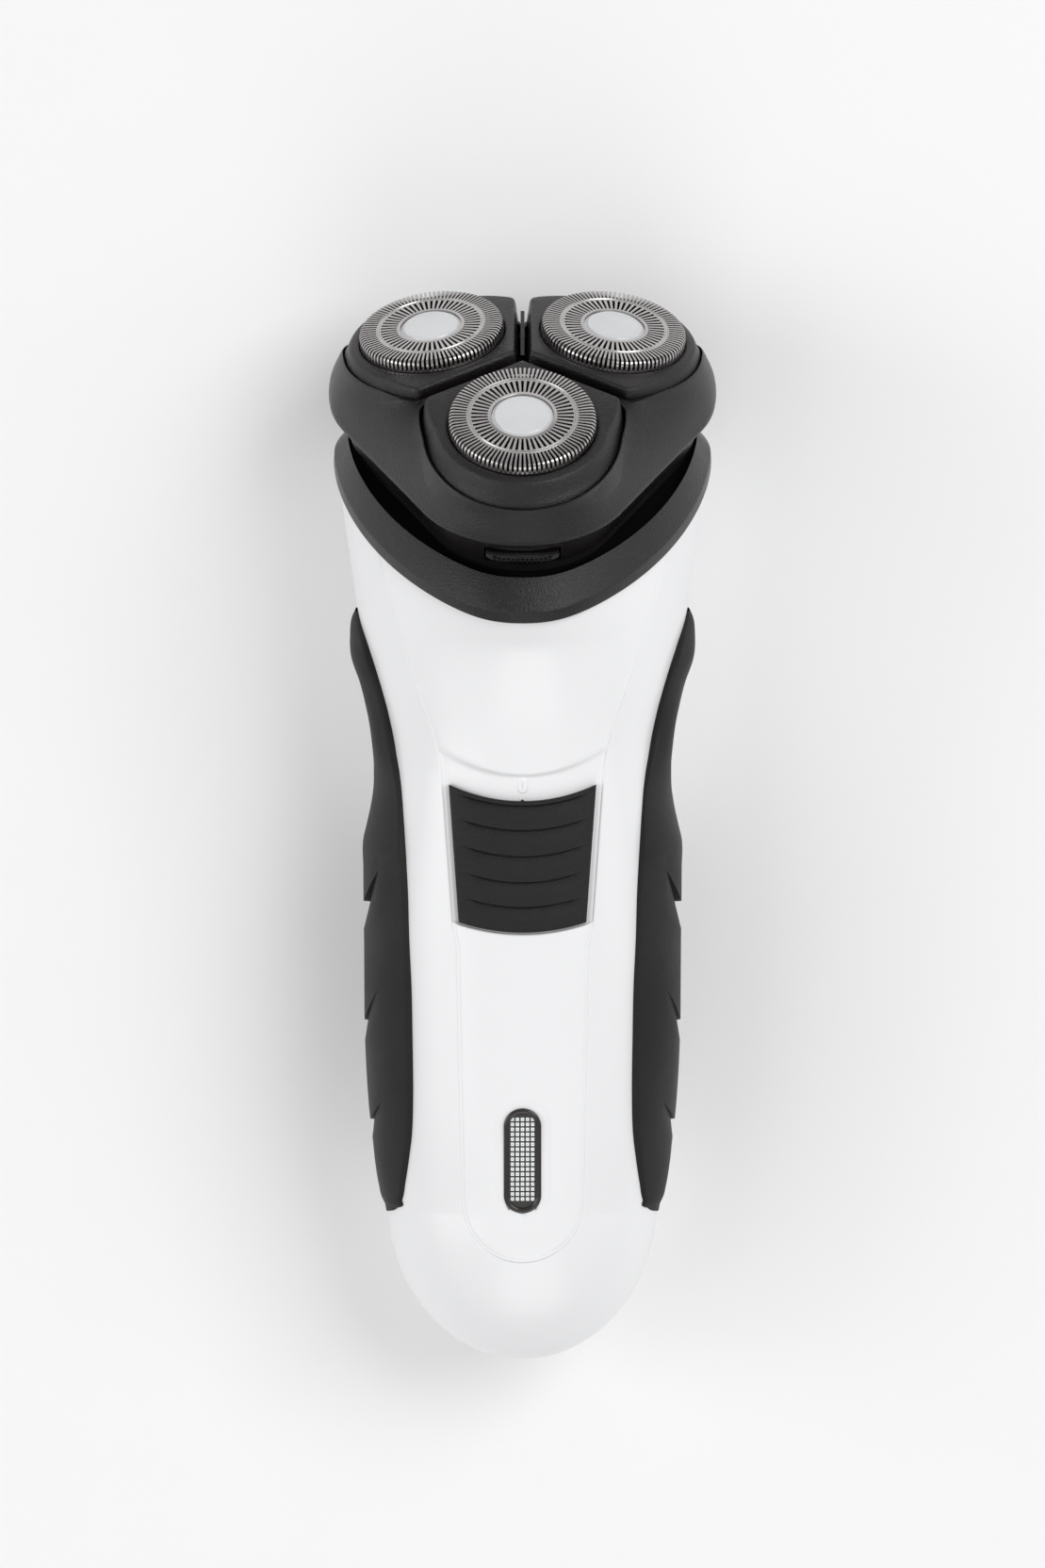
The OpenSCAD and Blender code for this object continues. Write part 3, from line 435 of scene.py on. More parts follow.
# ---- shells ----
def front_shell():
    """Half of the shell from the side seam to the panel's groove, and its mirror image."""
    bottom, groove_depth, lap = LOW - U_R, 1.7, 1.2
    u_rows = s_of(LOW - U_R * np.cos(np.radians(np.linspace(0, 90, 26))))
    near = s_of(bottom - np.array([0.02, 0.06, 0.12, 0.2, 0.3, 0.4, 0.6, 1.0]))
    s = np.unique(np.concatenate([np.linspace(-1, 0, 40), u_rows, near, np.linspace(0.05, LAST, 190)]))
    offsets = np.array([0.9, 0.6, 0.38, 0.26, 0.16, 0.08, 0.03, 0.0])
    low, high = np.zeros((len(s), len(offsets))), np.full((len(s), len(offsets)), 90.0)
    for _ in range(40):
        mid = (low + high) / 2
        p = edge(s[:, None], mid)
        out = beyond(p[..., 0], p[..., 1]) > offsets
        low, high = np.where(out, mid, low), np.where(out, high, mid)
    at = (low + high) / 2
    t = np.concatenate([[0, 0.002, 0.006, 0.012], np.linspace(0.03, 1, 26)[:-1]])
    angles = np.concatenate([at[:, :1] * t, at], axis=1)
    plain = edge(s[:, None], angles)
    outside = beyond(plain[..., 0], plain[..., 1])
    seam = np.linalg.norm(plain - plain[:, :1], axis=-1)
    g = np.minimum(-roll(outside, EDGE_R), -roll(seam, SEAM_R)) * ramp(s, -1, -0.9)[:, None]
    p = edge(s[:, None], angles, g)
    wall = edge(s, at[:, -1], np.where(outside[:, -1] < 0.01, -groove_depth, g[:, -1]))
    inner = edge(s, angles[:, 0], -lap * ramp(s, -1, -0.5))
    p = np.concatenate([inner[:, None], p, wall[:, None]], axis=1)
    top = edge(np.full(p.shape[1], float(LAST)), np.concatenate([[0], angles[-1], [at[-1, -1]]]), -1.6)
    p = np.concatenate([p, top[None]], axis=0)
    new_object("shell_front", Build().grid(p).grid(p * [-1, 1, 1]).mesh("shell_front"), "white_shell",
               "handle", 40, ["front_shell"])


# Each foot's place and the height of its stem, its radius and the clearance round it
FOOT_R, FOOT_GAP = 3, 0.08
FEET = [(x, y, h) for x in (-8, 8) for y, h in ((-50, 1.3), (40, 2.1))]


def feet():
    b = Build()
    for x, y, h in FEET:
        profile = [(0.001, 0.15), (2.1, 0.14), (2.3, 0.05), (2.42, 0), (2.7, 0), (2.87, 0.05), (2.97, 0.17),
                   (FOOT_R, 0.35), (FOOT_R, h), (0.001, h)]
        b.grid(turned(profile, 64) + [x, y, 0], wrap_cols=True)
    new_object("feet", b.mesh("feet"), "seal_rubber", "handle", 50, ["rubber_feet"])


def pit(profile, x, y):
    """A turned tool that cuts up into the back."""
    return tool(Build().grid(turned(profile, 48) + [x, y, 0], wrap_cols=True))


def rear_shell():
    """The back with its four screw holes, the feet's seats and the charging inlet in the tail."""
    wall, screw_x, screw_ys = 1.8, 14, (TAIL_Y + 35.7, TAIL_Y + 104.7)
    head_r, head_h, shank_r, shank_h = 2.6, 5, 1.3, 11
    inlet_r, inlet_flat, inlet_z, inlet_y = 4.6, 2.5, 14, TAIL_Y + 13.7
    s = np.unique(np.concatenate([np.linspace(-1, 0, 36), np.linspace(0, LAST, 150)]))
    a = 180 + 180 * np.concatenate([[0, 0.001, 0.003, 0.007], np.linspace(0.015, 0.985, 70),
                                    [0.993, 0.997, 0.999, 1]])
    seam = from_ends(edge(s[:, None], a))
    outer = edge(s[:, None], a, -roll(seam, SEAM_R) * ramp(s, -1, -0.9)[:, None])
    inner = edge(np.maximum(s, -0.88)[:, None], a[::-1], -wall)
    b = Build().grid(np.concatenate([outer, inner], axis=1), wrap_cols=True)
    b.cap(np.concatenate([outer[-1], inner[-1]]))
    obj = new_object("shell_rear", b.mesh("shell_rear"), "white_shell", "handle", 40, ["rear_shell"])
    screw = [(0, -1), (head_r, -1), (head_r, head_h), (shank_r, head_h), (shank_r, shank_h), (0, shank_h)]
    tools = [pit(screw, x, y) for x in (-screw_x, screw_x) for y in screw_ys]
    seat_r = FOOT_R + FOOT_GAP
    tools += [pit([(0, -1), (seat_r, -1), (seat_r, h + 0.03), (0, h + 0.03)], x, y) for x, y, h in FEET]
    t = circle(64)
    ring = np.stack([inlet_r * np.cos(t) + inlet_flat * np.sign(np.cos(t)), 0 * t,
                     inlet_r * np.sin(t) + inlet_z], -1)
    ends = np.array([ring + [0, TAIL_Y - 1, 0], ring + [0, inlet_y, 0]])
    tools.append(tool(Build().grid(ends, wrap_cols=True).cap(ends[0]).cap(ends[1])))
    cut(obj, *tools)


def level(y):
    return lambda x: y + 0 * x


def along(curve, d):
    return lambda x: curve(x) + d


def between(low, high, t):
    return lambda x: (1 - t) * low(x) + t * high(x)


def panel_rows():
    """The curves across the panel that its rows follow, each with its depth below the handle's front."""
    bottom, under, above = LOW - U_R + PANEL_GAP, 42, 0.6
    ends = [0.005, 0.03, 0.07, 0.13, 0.2, 0.28, 0.36, 0.5, 0.75, 1.1, 1.6, 2.2, 3, 4, 5.2, 6.6, 8.2]
    rows = [(level(bottom + d), 0) for d in [*ends, *np.linspace(9.9, under, 110)]]
    rows += [(between(level(bottom + under), along(recess_low, -0.45), t), 0)
             for t in np.linspace(0.1, 1, 10)[:-1]]
    rows += [(along(recess_low, d), depth) for d, depth in (
        (-0.3, 0), (-0.2, 0.03), (-0.11, 0.1), (-0.04, 0.22), (0, 0.4), (0.05, 0.68), (0.12, TRAY))]
    rows += [(between(recess_low, recess_high, t), TRAY) for t in np.linspace(0.02, 0.97, 40)]
    rows += [(along(recess_high, d), depth) for d, depth in (
        (-0.6, 0.79), (-0.35, 0.72), (-0.15, 0.55), (0, 0.36), (0.12, 0.2), (0.3, 0.07), (above, 0))]
    rows += [(between(along(recess_high, above), rim_y, t), 0) for t in np.linspace(0.02, 1, 50)]
    return rows


def panel():
    """The front panel: its lower part, the tray round the button and its upper part."""
    e = np.array([0, 0.03, 0.07, 0.12, 0.18, 0.3, 0.48, 0.55, 0.62, 0.7, 0.8, 0.95])
    mid, n = np.linspace(-1, 1, 61)[1:-1], len(e)
    rows, drop = [], []
    for f, depth in panel_rows():
        x = np.zeros(n * 2 + len(mid))
        y = f(x)
        for _ in range(12):
            round_half = np.sqrt(np.maximum((U_R - PANEL_GAP) ** 2 - (LOW - y) ** 2, 0))
            half = np.where(y < LOW, round_half, np.maximum(panel_side(y) - PANEL_GAP, 0))
            k = np.minimum(1, half / 1.6)
            x = np.concatenate([-(half[:n] - e * k[:n]), mid * (half[n:-n] - e[-1] * k[n:-n]),
                                half[-n:] - e[::-1] * k[-n:]])
            y = f(x)
        rows.append(np.stack([x, y], -1))
        drop.append(np.full(len(x), depth))
    plan, drop = np.array(rows), np.array(drop)
    x, y = plan[..., 0], plan[..., 1]
    inside = -beyond(x, y) - PANEL_GAP
    border = roll(inside, EDGE_R) + 0.14 * (1 - smooth(inside, 0.52, 0.66))
    z = front_at(x, y) - np.maximum(border, drop * (0.45 + 0.55 * smooth(inside, 0.1, 1.3)))
    window = np.hypot(x, np.maximum(np.abs(y - WINDOW_Y) - WINDOW_HALF, 0)) - BEZEL_R
    z = z - 0.2 * smooth(-window, -1.75, -1.1) - 1.6 * smooth(-window, 0.4, 0.75)
    z[-1] = np.minimum(z[-1], RIM[1] + 43 * CL)
    p = np.stack([x, y, z], -1)
    away = np.where((y < LOW)[..., None], np.stack([x, y - LOW, 0 * x], -1) / U_R,
                    np.stack([np.sign(x), 0 * x, 0 * x], -1))
    ledge = p + 0.012 * away - [0, 0, 0.25]
    foot = ledge - [0, 0, 1.3]
    full = np.concatenate([foot[:, :1], ledge[:, :1], p, ledge[:, -1:], foot[:, -1:]], axis=1)
    first, last = full[:1], full[-1:]
    full = np.concatenate([first - [0, 0.08, 1.6], first - [0, 0.08, 0.3], full,
                           last - [0, -1.2 * CL, 1.2 * SL]], axis=0)
    new_object("panel", Build().grid(full).mesh("panel"), "white_panel", "handle", 50, ["fascia"])


def pip():
    """A raised pip in the tray, ahead of the button."""
    a = circle(40)
    rings = []
    for w, h in ((0.85, -0.1), (0.78, 0.02), (0.7, 0.1), (0.6, 0.18), (0.45, 0.22), (0.25, 0.235),
                 (0.02, 0.24)):
        y = PIP_Y + np.sign(np.sin(a)) * 0.5 + w * np.sin(a)
        rings.append(np.stack([w * np.cos(a), y, front_at(y * 0, y) - TRAY + h], -1))
    new_object("pip", Build().grid(np.array(rings), wrap_cols=True).mesh("pip"), "white_panel", "handle", 50)


# Height of the button's top and of its underside over the handle's front
BUTTON_TOP, BUTTON_LOW = 0.5, -0.5


def button():
    """The sliding switch button with its five ridges, and the stem below it."""
    t = np.concatenate([[0, 0.002, 0.005, 0.01, 0.018], np.linspace(0.025, 0.975, 190),
                        [0.982, 0.99, 0.995, 0.998, 1]])
    e = np.array([0, 0.03, 0.08, 0.15, 0.25, 0.36, 0.5])
    mid, n = np.linspace(-1, 1, 47)[1:-1], len(e)
    x = np.zeros((len(t), n * 2 + len(mid)))

    def ends(x):
        return TAIL_Y + 69.3 + 0.0156 * x ** 2, TAIL_Y + 89.6 + 0.0188 * x ** 2
    for _ in range(12):
        low_y, high_y = ends(x)
        y = (1 - t[:, None]) * low_y + t[:, None] * high_y
        half = 9.8 + (y - TAIL_Y - 70.8) * 1.5 / 21.2
        x = np.concatenate([-(half[:, :n] - e), mid * (half[:, n:-n] - e[-1]), half[:, -n:] - e[::-1]], axis=1)
    low_y, high_y = ends(x)
    inside = np.minimum(half - np.abs(x), np.minimum(y - low_y, high_y - y))
    z = front_at(x, y) + BUTTON_TOP - roll(inside, 0.4)
    groove, ease, step = 0.5, 2.2, 0.2
    for ridge in (88.75, 84.95, 80.95, 76.95, 73.1):
        d = y - (TAIL_Y + ridge + 0.0182 * x ** 2)
        fade = 1 - smooth(np.abs(x), half - 3.2, half - 1.0)
        z -= groove * fade * np.where(d < 0, ramp(d, -ease, 0) ** 2, 1 - ramp(d, 0, step))
    p = np.stack([x, y, z], -1)
    low = np.stack([x, y, front_at(x, y) + BUTTON_LOW], -1)
    p = np.concatenate([low[:, :1], p, low[:, -1:]], axis=1)
    p = np.concatenate([p[:1] - [0, 0, 0.6], p, p[-1:] - [0, 0, 0.6]], axis=0)
    slope = math.radians(3.7)
    b = Build().grid(p)
    b.block((-1.5, -3, -5.2), (1.5, 2, 0), lambda q: np.stack(
        [q[:, 0], SWITCH_Y + q[:, 1] * math.cos(slope) - q[:, 2] * math.sin(slope),
         37.7 + q[:, 1] * math.sin(slope) + q[:, 2] * math.cos(slope)], -1))
    new_object("button", b.mesh("button", 0.002), "black_button", "button", 40, ["switch_button"])


def pointer():
    """The small triangle ahead of the button's upper edge."""
    y = TAIL_Y + 89.5
    base = float(front_at(0, y))
    points = [[x, y + ahead, base + h] for h in (-0.2, 0.12) for x, ahead in ((-0.5, 0), (0.5, 0), (0, 0.4))]
    mesh = mesh_of("pointer", points, [(0, 1, 2), (3, 4, 5), (0, 1, 4, 3), (1, 2, 5, 4), (2, 0, 3, 5)])
    new_object("pointer", mesh, "black_button", "button", 40, matter=[POINTER])


# ---- grips ----
# The angle at which a grip ends at the front and at the back, by section
GRIP_FRONT = [[-0.03, 7], [-0.018, 16.5], [0.01, 25.5], [0.1, 29.3], [0.3, 33.4], [0.58, 38], [0.82, 41.3],
              [1.1, 43.4], [1.42, 44.8], [1.78, 45.6], [2.1, 44.7], [2.41, 43.3], [2.64, 41.4], [2.86, 39.4],
              [3.1, 37.4], [3.38, 34.7], [3.6, 32], [3.88, 28.2], [4.22, 26.1], [4.6, 26], [4.93, 25],
              [5.24, 21.3], [5.5, 15.3], [5.67, 7]]
GRIP_BACK = [[-0.03, 6.5], [-0.018, 1], [0.01, -3], [0.05, -6.5], [0.1, -9.5], [0.2, -14], [0.35, -18.5],
             [0.6, -24], [1, -28], [2, -32], [2.8, -26], [3.3, -8], [3.8, 4], [4.3, 7], [4.8, 4], [5.2, -4],
             [5.5, -4], [5.67, 3]]
# How far a grip stands out at its widest line
GRIP_LIFT = [[-0.03, 0.35], [0.07, 1], [0.2, 1.3], [0.45, 1.6], [0.72, 1.75], [0.9, 1.95], [1.2, 2.1],
             [1.5, 2], [1.8, 1.75], [2.05, 1.7], [2.3, 1.9], [2.55, 2.2], [2.8, 2.5], [2.92, 2.15],
             [3.1, 1.7], [3.3, 1.55], [3.6, 1.9], [3.95, 2.35], [4.4, 2.3], [4.8, 2.1], [5.15, 2.35],
             [5.35, 1.9], [5.53, 1.3], [5.67, 0.4]]
# Where a gill cuts in, how far it slants, how deep it is and how soon it runs out below
GILLS = ((0.86, 0.2, 0.65, 0.16), (1.525, 0.22, 0.6, 0.12), (2.3, 0.29, 1.2, 0.2))


def spline(table, s):
    """A smooth curve through the table's points."""
    t, v = np.array(table, float).T
    slope = np.gradient(v, t)
    i = np.clip(np.searchsorted(t, s, side="right") - 1, 0, len(t) - 2)
    h = t[i + 1] - t[i]
    u = np.clip((s - t[i]) / h, 0, 1)
    return ((1 + 2 * u) * (1 - u) ** 2 * v[i] + u * (1 - u) ** 2 * h * slope[i]
            + u * u * (3 - 2 * u) * v[i + 1] + u * u * (u - 1) * h * slope[i + 1])


def grips():
    tail, tip = GRIP_FRONT[0][0], GRIP_FRONT[-1][0]
    at_gills = [q + np.array([-run, -run / 2, -0.02, -0.004, 0, 0.004, 0.03]) for q, _, _, run in GILLS]
    base = np.unique(np.concatenate([np.linspace(tail, 0.02, 14), np.linspace(0.02, 0.3, 24),
                                     np.linspace(0.3, 5.4, 200), np.linspace(5.4, tip, 24), *at_gills]))
    c = np.concatenate([[0, 0.004, 0.012, 0.025, 0.045], np.linspace(0.07, 0.93, 44),
                        [0.955, 0.975, 0.988, 0.996, 1]])
    s = np.repeat(base[:, None], len(c), axis=1)
    depth = np.zeros_like(s)
    for q, slant, deep, run in GILLS:
        b, f = spline(GRIP_BACK, q), spline(GRIP_FRONT, q)
        widest = (4 - b) / (f - b)
        up, under = ramp(c, widest, widest + 0.3), ramp(c, widest, widest - 0.45)
        near = np.where(base < q, smooth(base, q - 0.36, q), 1 - smooth(base, q + 0.004, q + 0.5))
        s += slant * np.maximum(up, under * 0.6) ** 1.4 * near[:, None]
        t = q - base
        saw = np.where((t >= -TINY) & (t <= run), 1 - t / run, 0)
        depth += deep * saw[:, None] * (1 - np.maximum(up, under) ** 1.5)
    back, front = spline(GRIP_BACK, s), spline(GRIP_FRONT, s)
    angle = back + (front - back) * c
    g = spline(GRIP_LIFT, base)[:, None] * (0.42 + 0.58 * np.sin(np.pi * c)) - depth
    g = np.maximum(g - roll(from_ends(edge(s, angle)), np.clip(g, 0.02, 0.5)), 0.02)
    p = edge(s, angle, g)
    low = edge(s, angle, -0.25)
    ring = np.concatenate([low[:, :1], p, low[:, -1:]], axis=1)
    for name, k in (("right", 1), ("left", -1)):
        new_object("grip_" + name + "_skin", Build().grid(ring * [k, 1, 1]).mesh("grip_" + name, 0.002),
                   "grip_rubber", "handle", 38, ["grip_" + name])


# ---- neck ----
def collar():
    # Half width, reach to the front and to the back, depth, and how much higher the ring lies behind
    profile = [[27.2, 39, 15.4, 18.8, 1], [29.4, 42.9, 15.95, 22.6, 0], [29.55, 43.15, 16, 24.45, 0],
               [29.2, 42.7, 15.8, 24.75, 0], [29, 42.3, 15.7, 24.8, 0], [25.6, 34.6, 14, 24.3, 0],
               [25.6, 34.6, 14, 22, 0], [26.9, 36.2, 15.2, 22, 0]]
    rings = []
    for *q, fall in soften(profile, 0.22):
        ring = egg(*q)
        ring[:, 2] -= fall * ramp(ring[:, 1], 2, 9)
        rings.append(ring)
    b = Build().grid(np.array(rings), wrap_rows=True, wrap_cols=True, place=at_head)
    barrel(b, -4.6, 4.6, KNUCKLE_R).block((-4.6, 21.5, -20.4), (4.6, 23.1, HINGE_H), at_head)
    mesh = b.mesh("collar")
    axis, ahead = np.array([0, CL, SL]), FORWARD * np.array([0, SL, -CL])
    # Faces that look in towards the neck take the second finish, a darker black: painted shade inside the
    # collar
    for f in mesh.polygons:
        out = np.array(f.center) / MM - HEAD
        out = out - out @ axis * axis - ahead
        f.material_index = int(out @ np.array(f.normal) < -0.3 * np.linalg.norm(out))
    obj = new_object("collar_skin", mesh, "black_satin", "handle", 38, ["collar"],
                     [FINISH["black_satin"], FINISH["throat_black_painted_shade"]])
    cut(obj, *[tool(barrel(Build(), x - 2, x + 2, 2.7)) for x in (-ARM_X, ARM_X)])


# ---- head ----
# The caps' radius and height, the pods' radius, height and distance from each other's middle plane, the
# disc's radius and the groove's
CAP_R, CAP_H, POD_R, POD_H, POD_SPLIT, BADGE_R, GROOVE = 11.2, 4.7, 15.3, 7.0, 1.3, 4.65, 8.14
# The caps' slotted tops, and where their two tracks of slots start and end
CAP_TOP, INNER_LOW, INNER_HIGH, OUTER_LOW = 0.6, 5.2, 7.8, 8.42
OUTER_SLOTS, INNER_SLOTS = 96, 54
# The widest angle at which a pod's edge is round, from the direction that it faces
JUNCTION = 118
# A pod's lugs and the stops outside them, from the pod's middle
LUG_Y, STOP_Y = 12.9, 14.4
# The skirt's rim, and the neck below it
SKIRT_R, SKIRT_H, NECK_R, NECK_H = 17.35, 12.7, 15, 18.6


def pod_outline(slope, grow, z, angles):
    """A pod's edge, which lies slope inside its widest line: round outside, flat towards the others."""
    off = np.abs(angles)
    shoulder = 1.6 * ramp(off, 60, 120) ** 2
    round_r = POD_R + shoulder - slope * ramp(JUNCTION - off, 0, 30)
    flat = (RING_R * math.sin(math.radians(60)) - POD_SPLIT) / np.cos(np.radians(off - 150))
    flat_r = np.where(off > 62, flat, 100)
    r = -np.log(np.exp(-3.2 * round_r) + np.exp(-3.2 * flat_r)) / 3.2 + grow
    t = np.radians(angles)
    return np.stack([r * np.cos(t), r * np.sin(t), np.full(len(t), z)], -1)


def pods():
    angles = np.concatenate([np.linspace(-180, -125, 24), np.linspace(-124, -110, 16),
                             np.linspace(-108, 108, 90), np.linspace(110, 124, 16),
                             np.linspace(125, 180, 24)[:-1]])
    t = np.radians(angles)
    rings = [pod_outline(*q, angles) for q in (
        (0.3, -0.2, -POD_H), (0.05, -0.03, -POD_H + 0.18), (0, 0, -POD_H + 0.45), (0.35, 0, -5.6),
        (0.75, 0, -4.9), (0.95, -0.02, -4.62), (1.15, -0.02, -4.4), (1.6, 0, -3.6), (2.05, -0.01, -2.75),
        (2.2, -0.06, -2.4), (2.3, -0.16, -2.12), (2.45, -0.35, -1.94), (2.6, -0.6, -1.88))]
    for r, z in ((12.05, -1.84), (11.6, -1.86), (11.42, -1.95), (11.35, -2.1), (11.35, -POD_H)):
        rings.append(np.stack([r * np.cos(t), r * np.sin(t), np.full(len(t), z)], -1))
    for k in DIRECTIONS:
        b = Build().grid(np.array(rings), wrap_rows=True, wrap_cols=True, place=at_pod(k))
        for y in (-1, 1):
            b.block((-1.6, y * LUG_Y - 0.6, -8.9), (1.6, y * LUG_Y + 0.6, -6), at_pod(k))
        new_object("pod_" + k + "_skin", b.mesh("pod_" + k), "black_satin", "pod_" + k, 42, ["pod_" + k])


def bars(count, top, under, duty):
    """Bars that run along the path top, over the path under, with slots between them."""
    half = math.pi / count * duty
    rings = []
    for i in range(count):
        a = 2 * math.pi * (i + 0.5) / count
        rings.append([[[r * math.cos(a + s * half), r * math.sin(a + s * half), z]
                       for (r, z), s in ((u, -1), (v, -1), (v, 1), (u, 1))] for v, u in zip(top, under)])
    return rings


def caps():
    """Each cap: its side and flange, the ring with the groove, the ring round the disc, and the bars."""
    side = [(CAP_R, -1.75), (CAP_R + 0.02, -1.9), (CAP_R, -CAP_H), (12.1, -CAP_H), (12.1, -CAP_H - 0.8),
            (10.7, -CAP_H - 0.8), (10.7, -1.75), (CAP_R, -1.75)]
    groove = [(7.76, -CAP_TOP), (7.76, -0.03), (7.8, 0), (GROOVE - 0.2, 0), (GROOVE - 0.12, -0.1),
              (GROOVE, -0.13), (GROOVE + 0.12, -0.1), (GROOVE + 0.2, 0), (8.44, 0), (8.48, -0.03),
              (8.48, -CAP_TOP), (7.76, -CAP_TOP)]
    middle = [(BADGE_R + 0.08, -0.5), (BADGE_R + 0.08, -0.02), (BADGE_R + 0.14, 0.02), (INNER_LOW, 0),
              (5.25, -0.03), (5.25, -CAP_TOP), (BADGE_R - 0.5, -CAP_TOP), (BADGE_R - 0.5, -0.5),
              (BADGE_R + 0.08, -0.5)]
    top = [(OUTER_LOW, -0.01), (CAP_R - 0.75, -0.01), (CAP_R - 0.48, -0.07), (CAP_R - 0.24, -0.24),
           (CAP_R - 0.07, -0.5), (CAP_R, -0.85), (CAP_R, -1.8)]
    under = [(OUTER_LOW, -CAP_TOP), (CAP_R - 0.95, -CAP_TOP), (CAP_R - 0.8, -0.64), (CAP_R - 0.66, -0.72),
             (CAP_R - 0.56, -0.84), (CAP_R - 0.5, -1.0), (CAP_R - 0.5, -1.8)]
    track = bars(OUTER_SLOTS, top, under, 0.47) + bars(
        INNER_SLOTS, [(INNER_LOW, -0.01), (INNER_HIGH, -0.01)], [(INNER_LOW, -CAP_TOP), (INNER_HIGH, -CAP_TOP)],
        0.5)
    disc = [(0.001, 0.2), (3.5, 0.17), (3.6, 0.12), (3.75, 0.12), (3.85, 0.16), (4.05, 0.14), (4.2, 0.04),
            (4.3, -0.2), (BADGE_R, -0.28), (BADGE_R, -0.4), (0.001, -0.4)]
    for k in DIRECTIONS:
        b = Build()
        for rings in [turned(side), turned(groove), turned(middle), *track]:
            b.grid(rings, wrap_cols=True, place=at_pod(k))
        new_object("cap_" + k + "_skin", b.mesh("cap_" + k, 0.001), "cap_steel", "pod_" + k, 30, ["cap_" + k])
        b = Build().grid(turned(disc, 72), wrap_cols=True, place=at_pod(k))
        new_object("badge_" + k + "_skin", b.mesh("badge_" + k), "badge_white", "pod_" + k, 40, ["badge_" + k])


def round_pods(around, grow, z, lip=0, tuck=0.0):
    """A ring of the frame round the three pods; a lip falls and tucks in along the rear pods' flanks."""
    out = []
    for k, c in DIRECTIONS.items():
        turn = {"front": np.full(len(around), -200.0), "right": around, "left": -around}[k]
        off = np.abs(around)
        if k == "front":
            fall = 0.9 * np.cos(np.radians(0.9 * np.minimum(off, 100))) ** 2 - 0.4 * smooth(off, 60, JUNCTION)
        else:
            fall = 3.5 * smooth(turn, -38, 20) - 0.75
        low = z - lip * fall
        slope = np.interp(low, [-7, -5.6, -4.9, -3.6, -2.75], [0, 0.35, 0.75, 1.6, 2.05])
        p = pod_outline(slope, grow - tuck * smooth(turn, -90, -40), z, around)
        d, t = math.radians(c), math.radians(TILT)
        x = p[:, 0] * math.cos(t) + low * math.sin(t) + RING_R
        h = -p[:, 0] * math.sin(t) + low * math.cos(t)
        out.append(np.stack([x * math.cos(d) - p[:, 1] * math.sin(d),
                             x * math.sin(d) + p[:, 1] * math.cos(d), h], -1))
    return np.vstack(out)


def head_frame():
    """The skirt: from the pods' wells over the lip down to the rim, and up again inside."""
    steps = 60
    around = np.linspace(-60, 60, steps + 1) * JUNCTION / 60
    lip = round_pods(around, 0.85, -4.25, 1, 0.35)
    rim = lobes(SKIRT_R, SKIRT_H, steps)
    rings = [round_pods(around, 0.5, -8.4), round_pods(around, 0.5, -4.5, 1, 0.2),
             round_pods(around, 0.56, -4.33, 1, 0.22), round_pods(around, 0.68, -4.25, 1, 0.28), lip]
    centre = rim * [1, 1, 0]
    centre /= np.linalg.norm(centre, axis=1, keepdims=True)
    swell = centre * (0.75 + 0.85 * centre[:, :1] ** 4)
    for t in (0.05, 0.12, 0.2, 0.3, 0.42, 0.55, 0.68, 0.8, 0.9, 0.96):
        ring = lip * (1 - t) + rim * t + swell * math.sin(math.pi * t) ** 0.8
        for _ in range(int(60 * math.sin(math.pi * t))):
            ring = (np.roll(ring, 1, axis=0) + 2 * ring + np.roll(ring, -1, axis=0)) / 4
        rings.append(ring)
    rings += [rim] + [lobes(r, h, steps) for r, h in (
        (17.38, 13.0), (17.32, 13.25), (17.15, 13.5), (16.9, 13.6), (15.3, 14.4), (15.05, 14.8),
        (NECK_R, NECK_H), (NECK_R - 1.2, NECK_H), (13.9, 12.2))]
    b = Build().grid(np.array(rings), wrap_rows=True, wrap_cols=True, place=at_head)
    obj = new_object("head_frame_skin", b.mesh("head_frame"), "black_satin", "head", 42, ["head_frame"])
    cut(obj, tool(Build().block((-5.8, TAB_Y - 3, -20.6), (5.8, TAB_Y + 4.5, -15.9), at_head)),
        tool(Build().block((-4.9, 18.7, -21), (4.9, 26.7, -15), at_head)))


def flat_plate(outlines, h, t):
    """A plate in the head's plane, from the depth h down by t, with holes."""
    curve = bpy.data.curves.new("plate", "CURVE")
    curve.dimensions, curve.fill_mode, curve.extrude = "2D", "BOTH", t / 2
    for ring in outlines:
        sp = curve.splines.new("POLY")
        sp.points.add(len(ring) - 1)
        for q, v in zip(sp.points, ring):
            q.co = (v[0], v[1], 0, 1)
        sp.use_cyclic_u = True
    obj = bpy.data.objects.new("plate", curve)
    bpy.context.scene.collection.objects.link(obj)
    dg = bpy.context.evaluated_depsgraph_get()
    mesh = obj.evaluated_get(dg).to_mesh()
    verts = np.array([v.co for v in mesh.vertices]) + [0, 0, -h - t / 2]
    faces = [tuple(f.vertices) for f in mesh.polygons]
    bpy.data.objects.remove(obj, do_unlink=True)
    return verts, faces


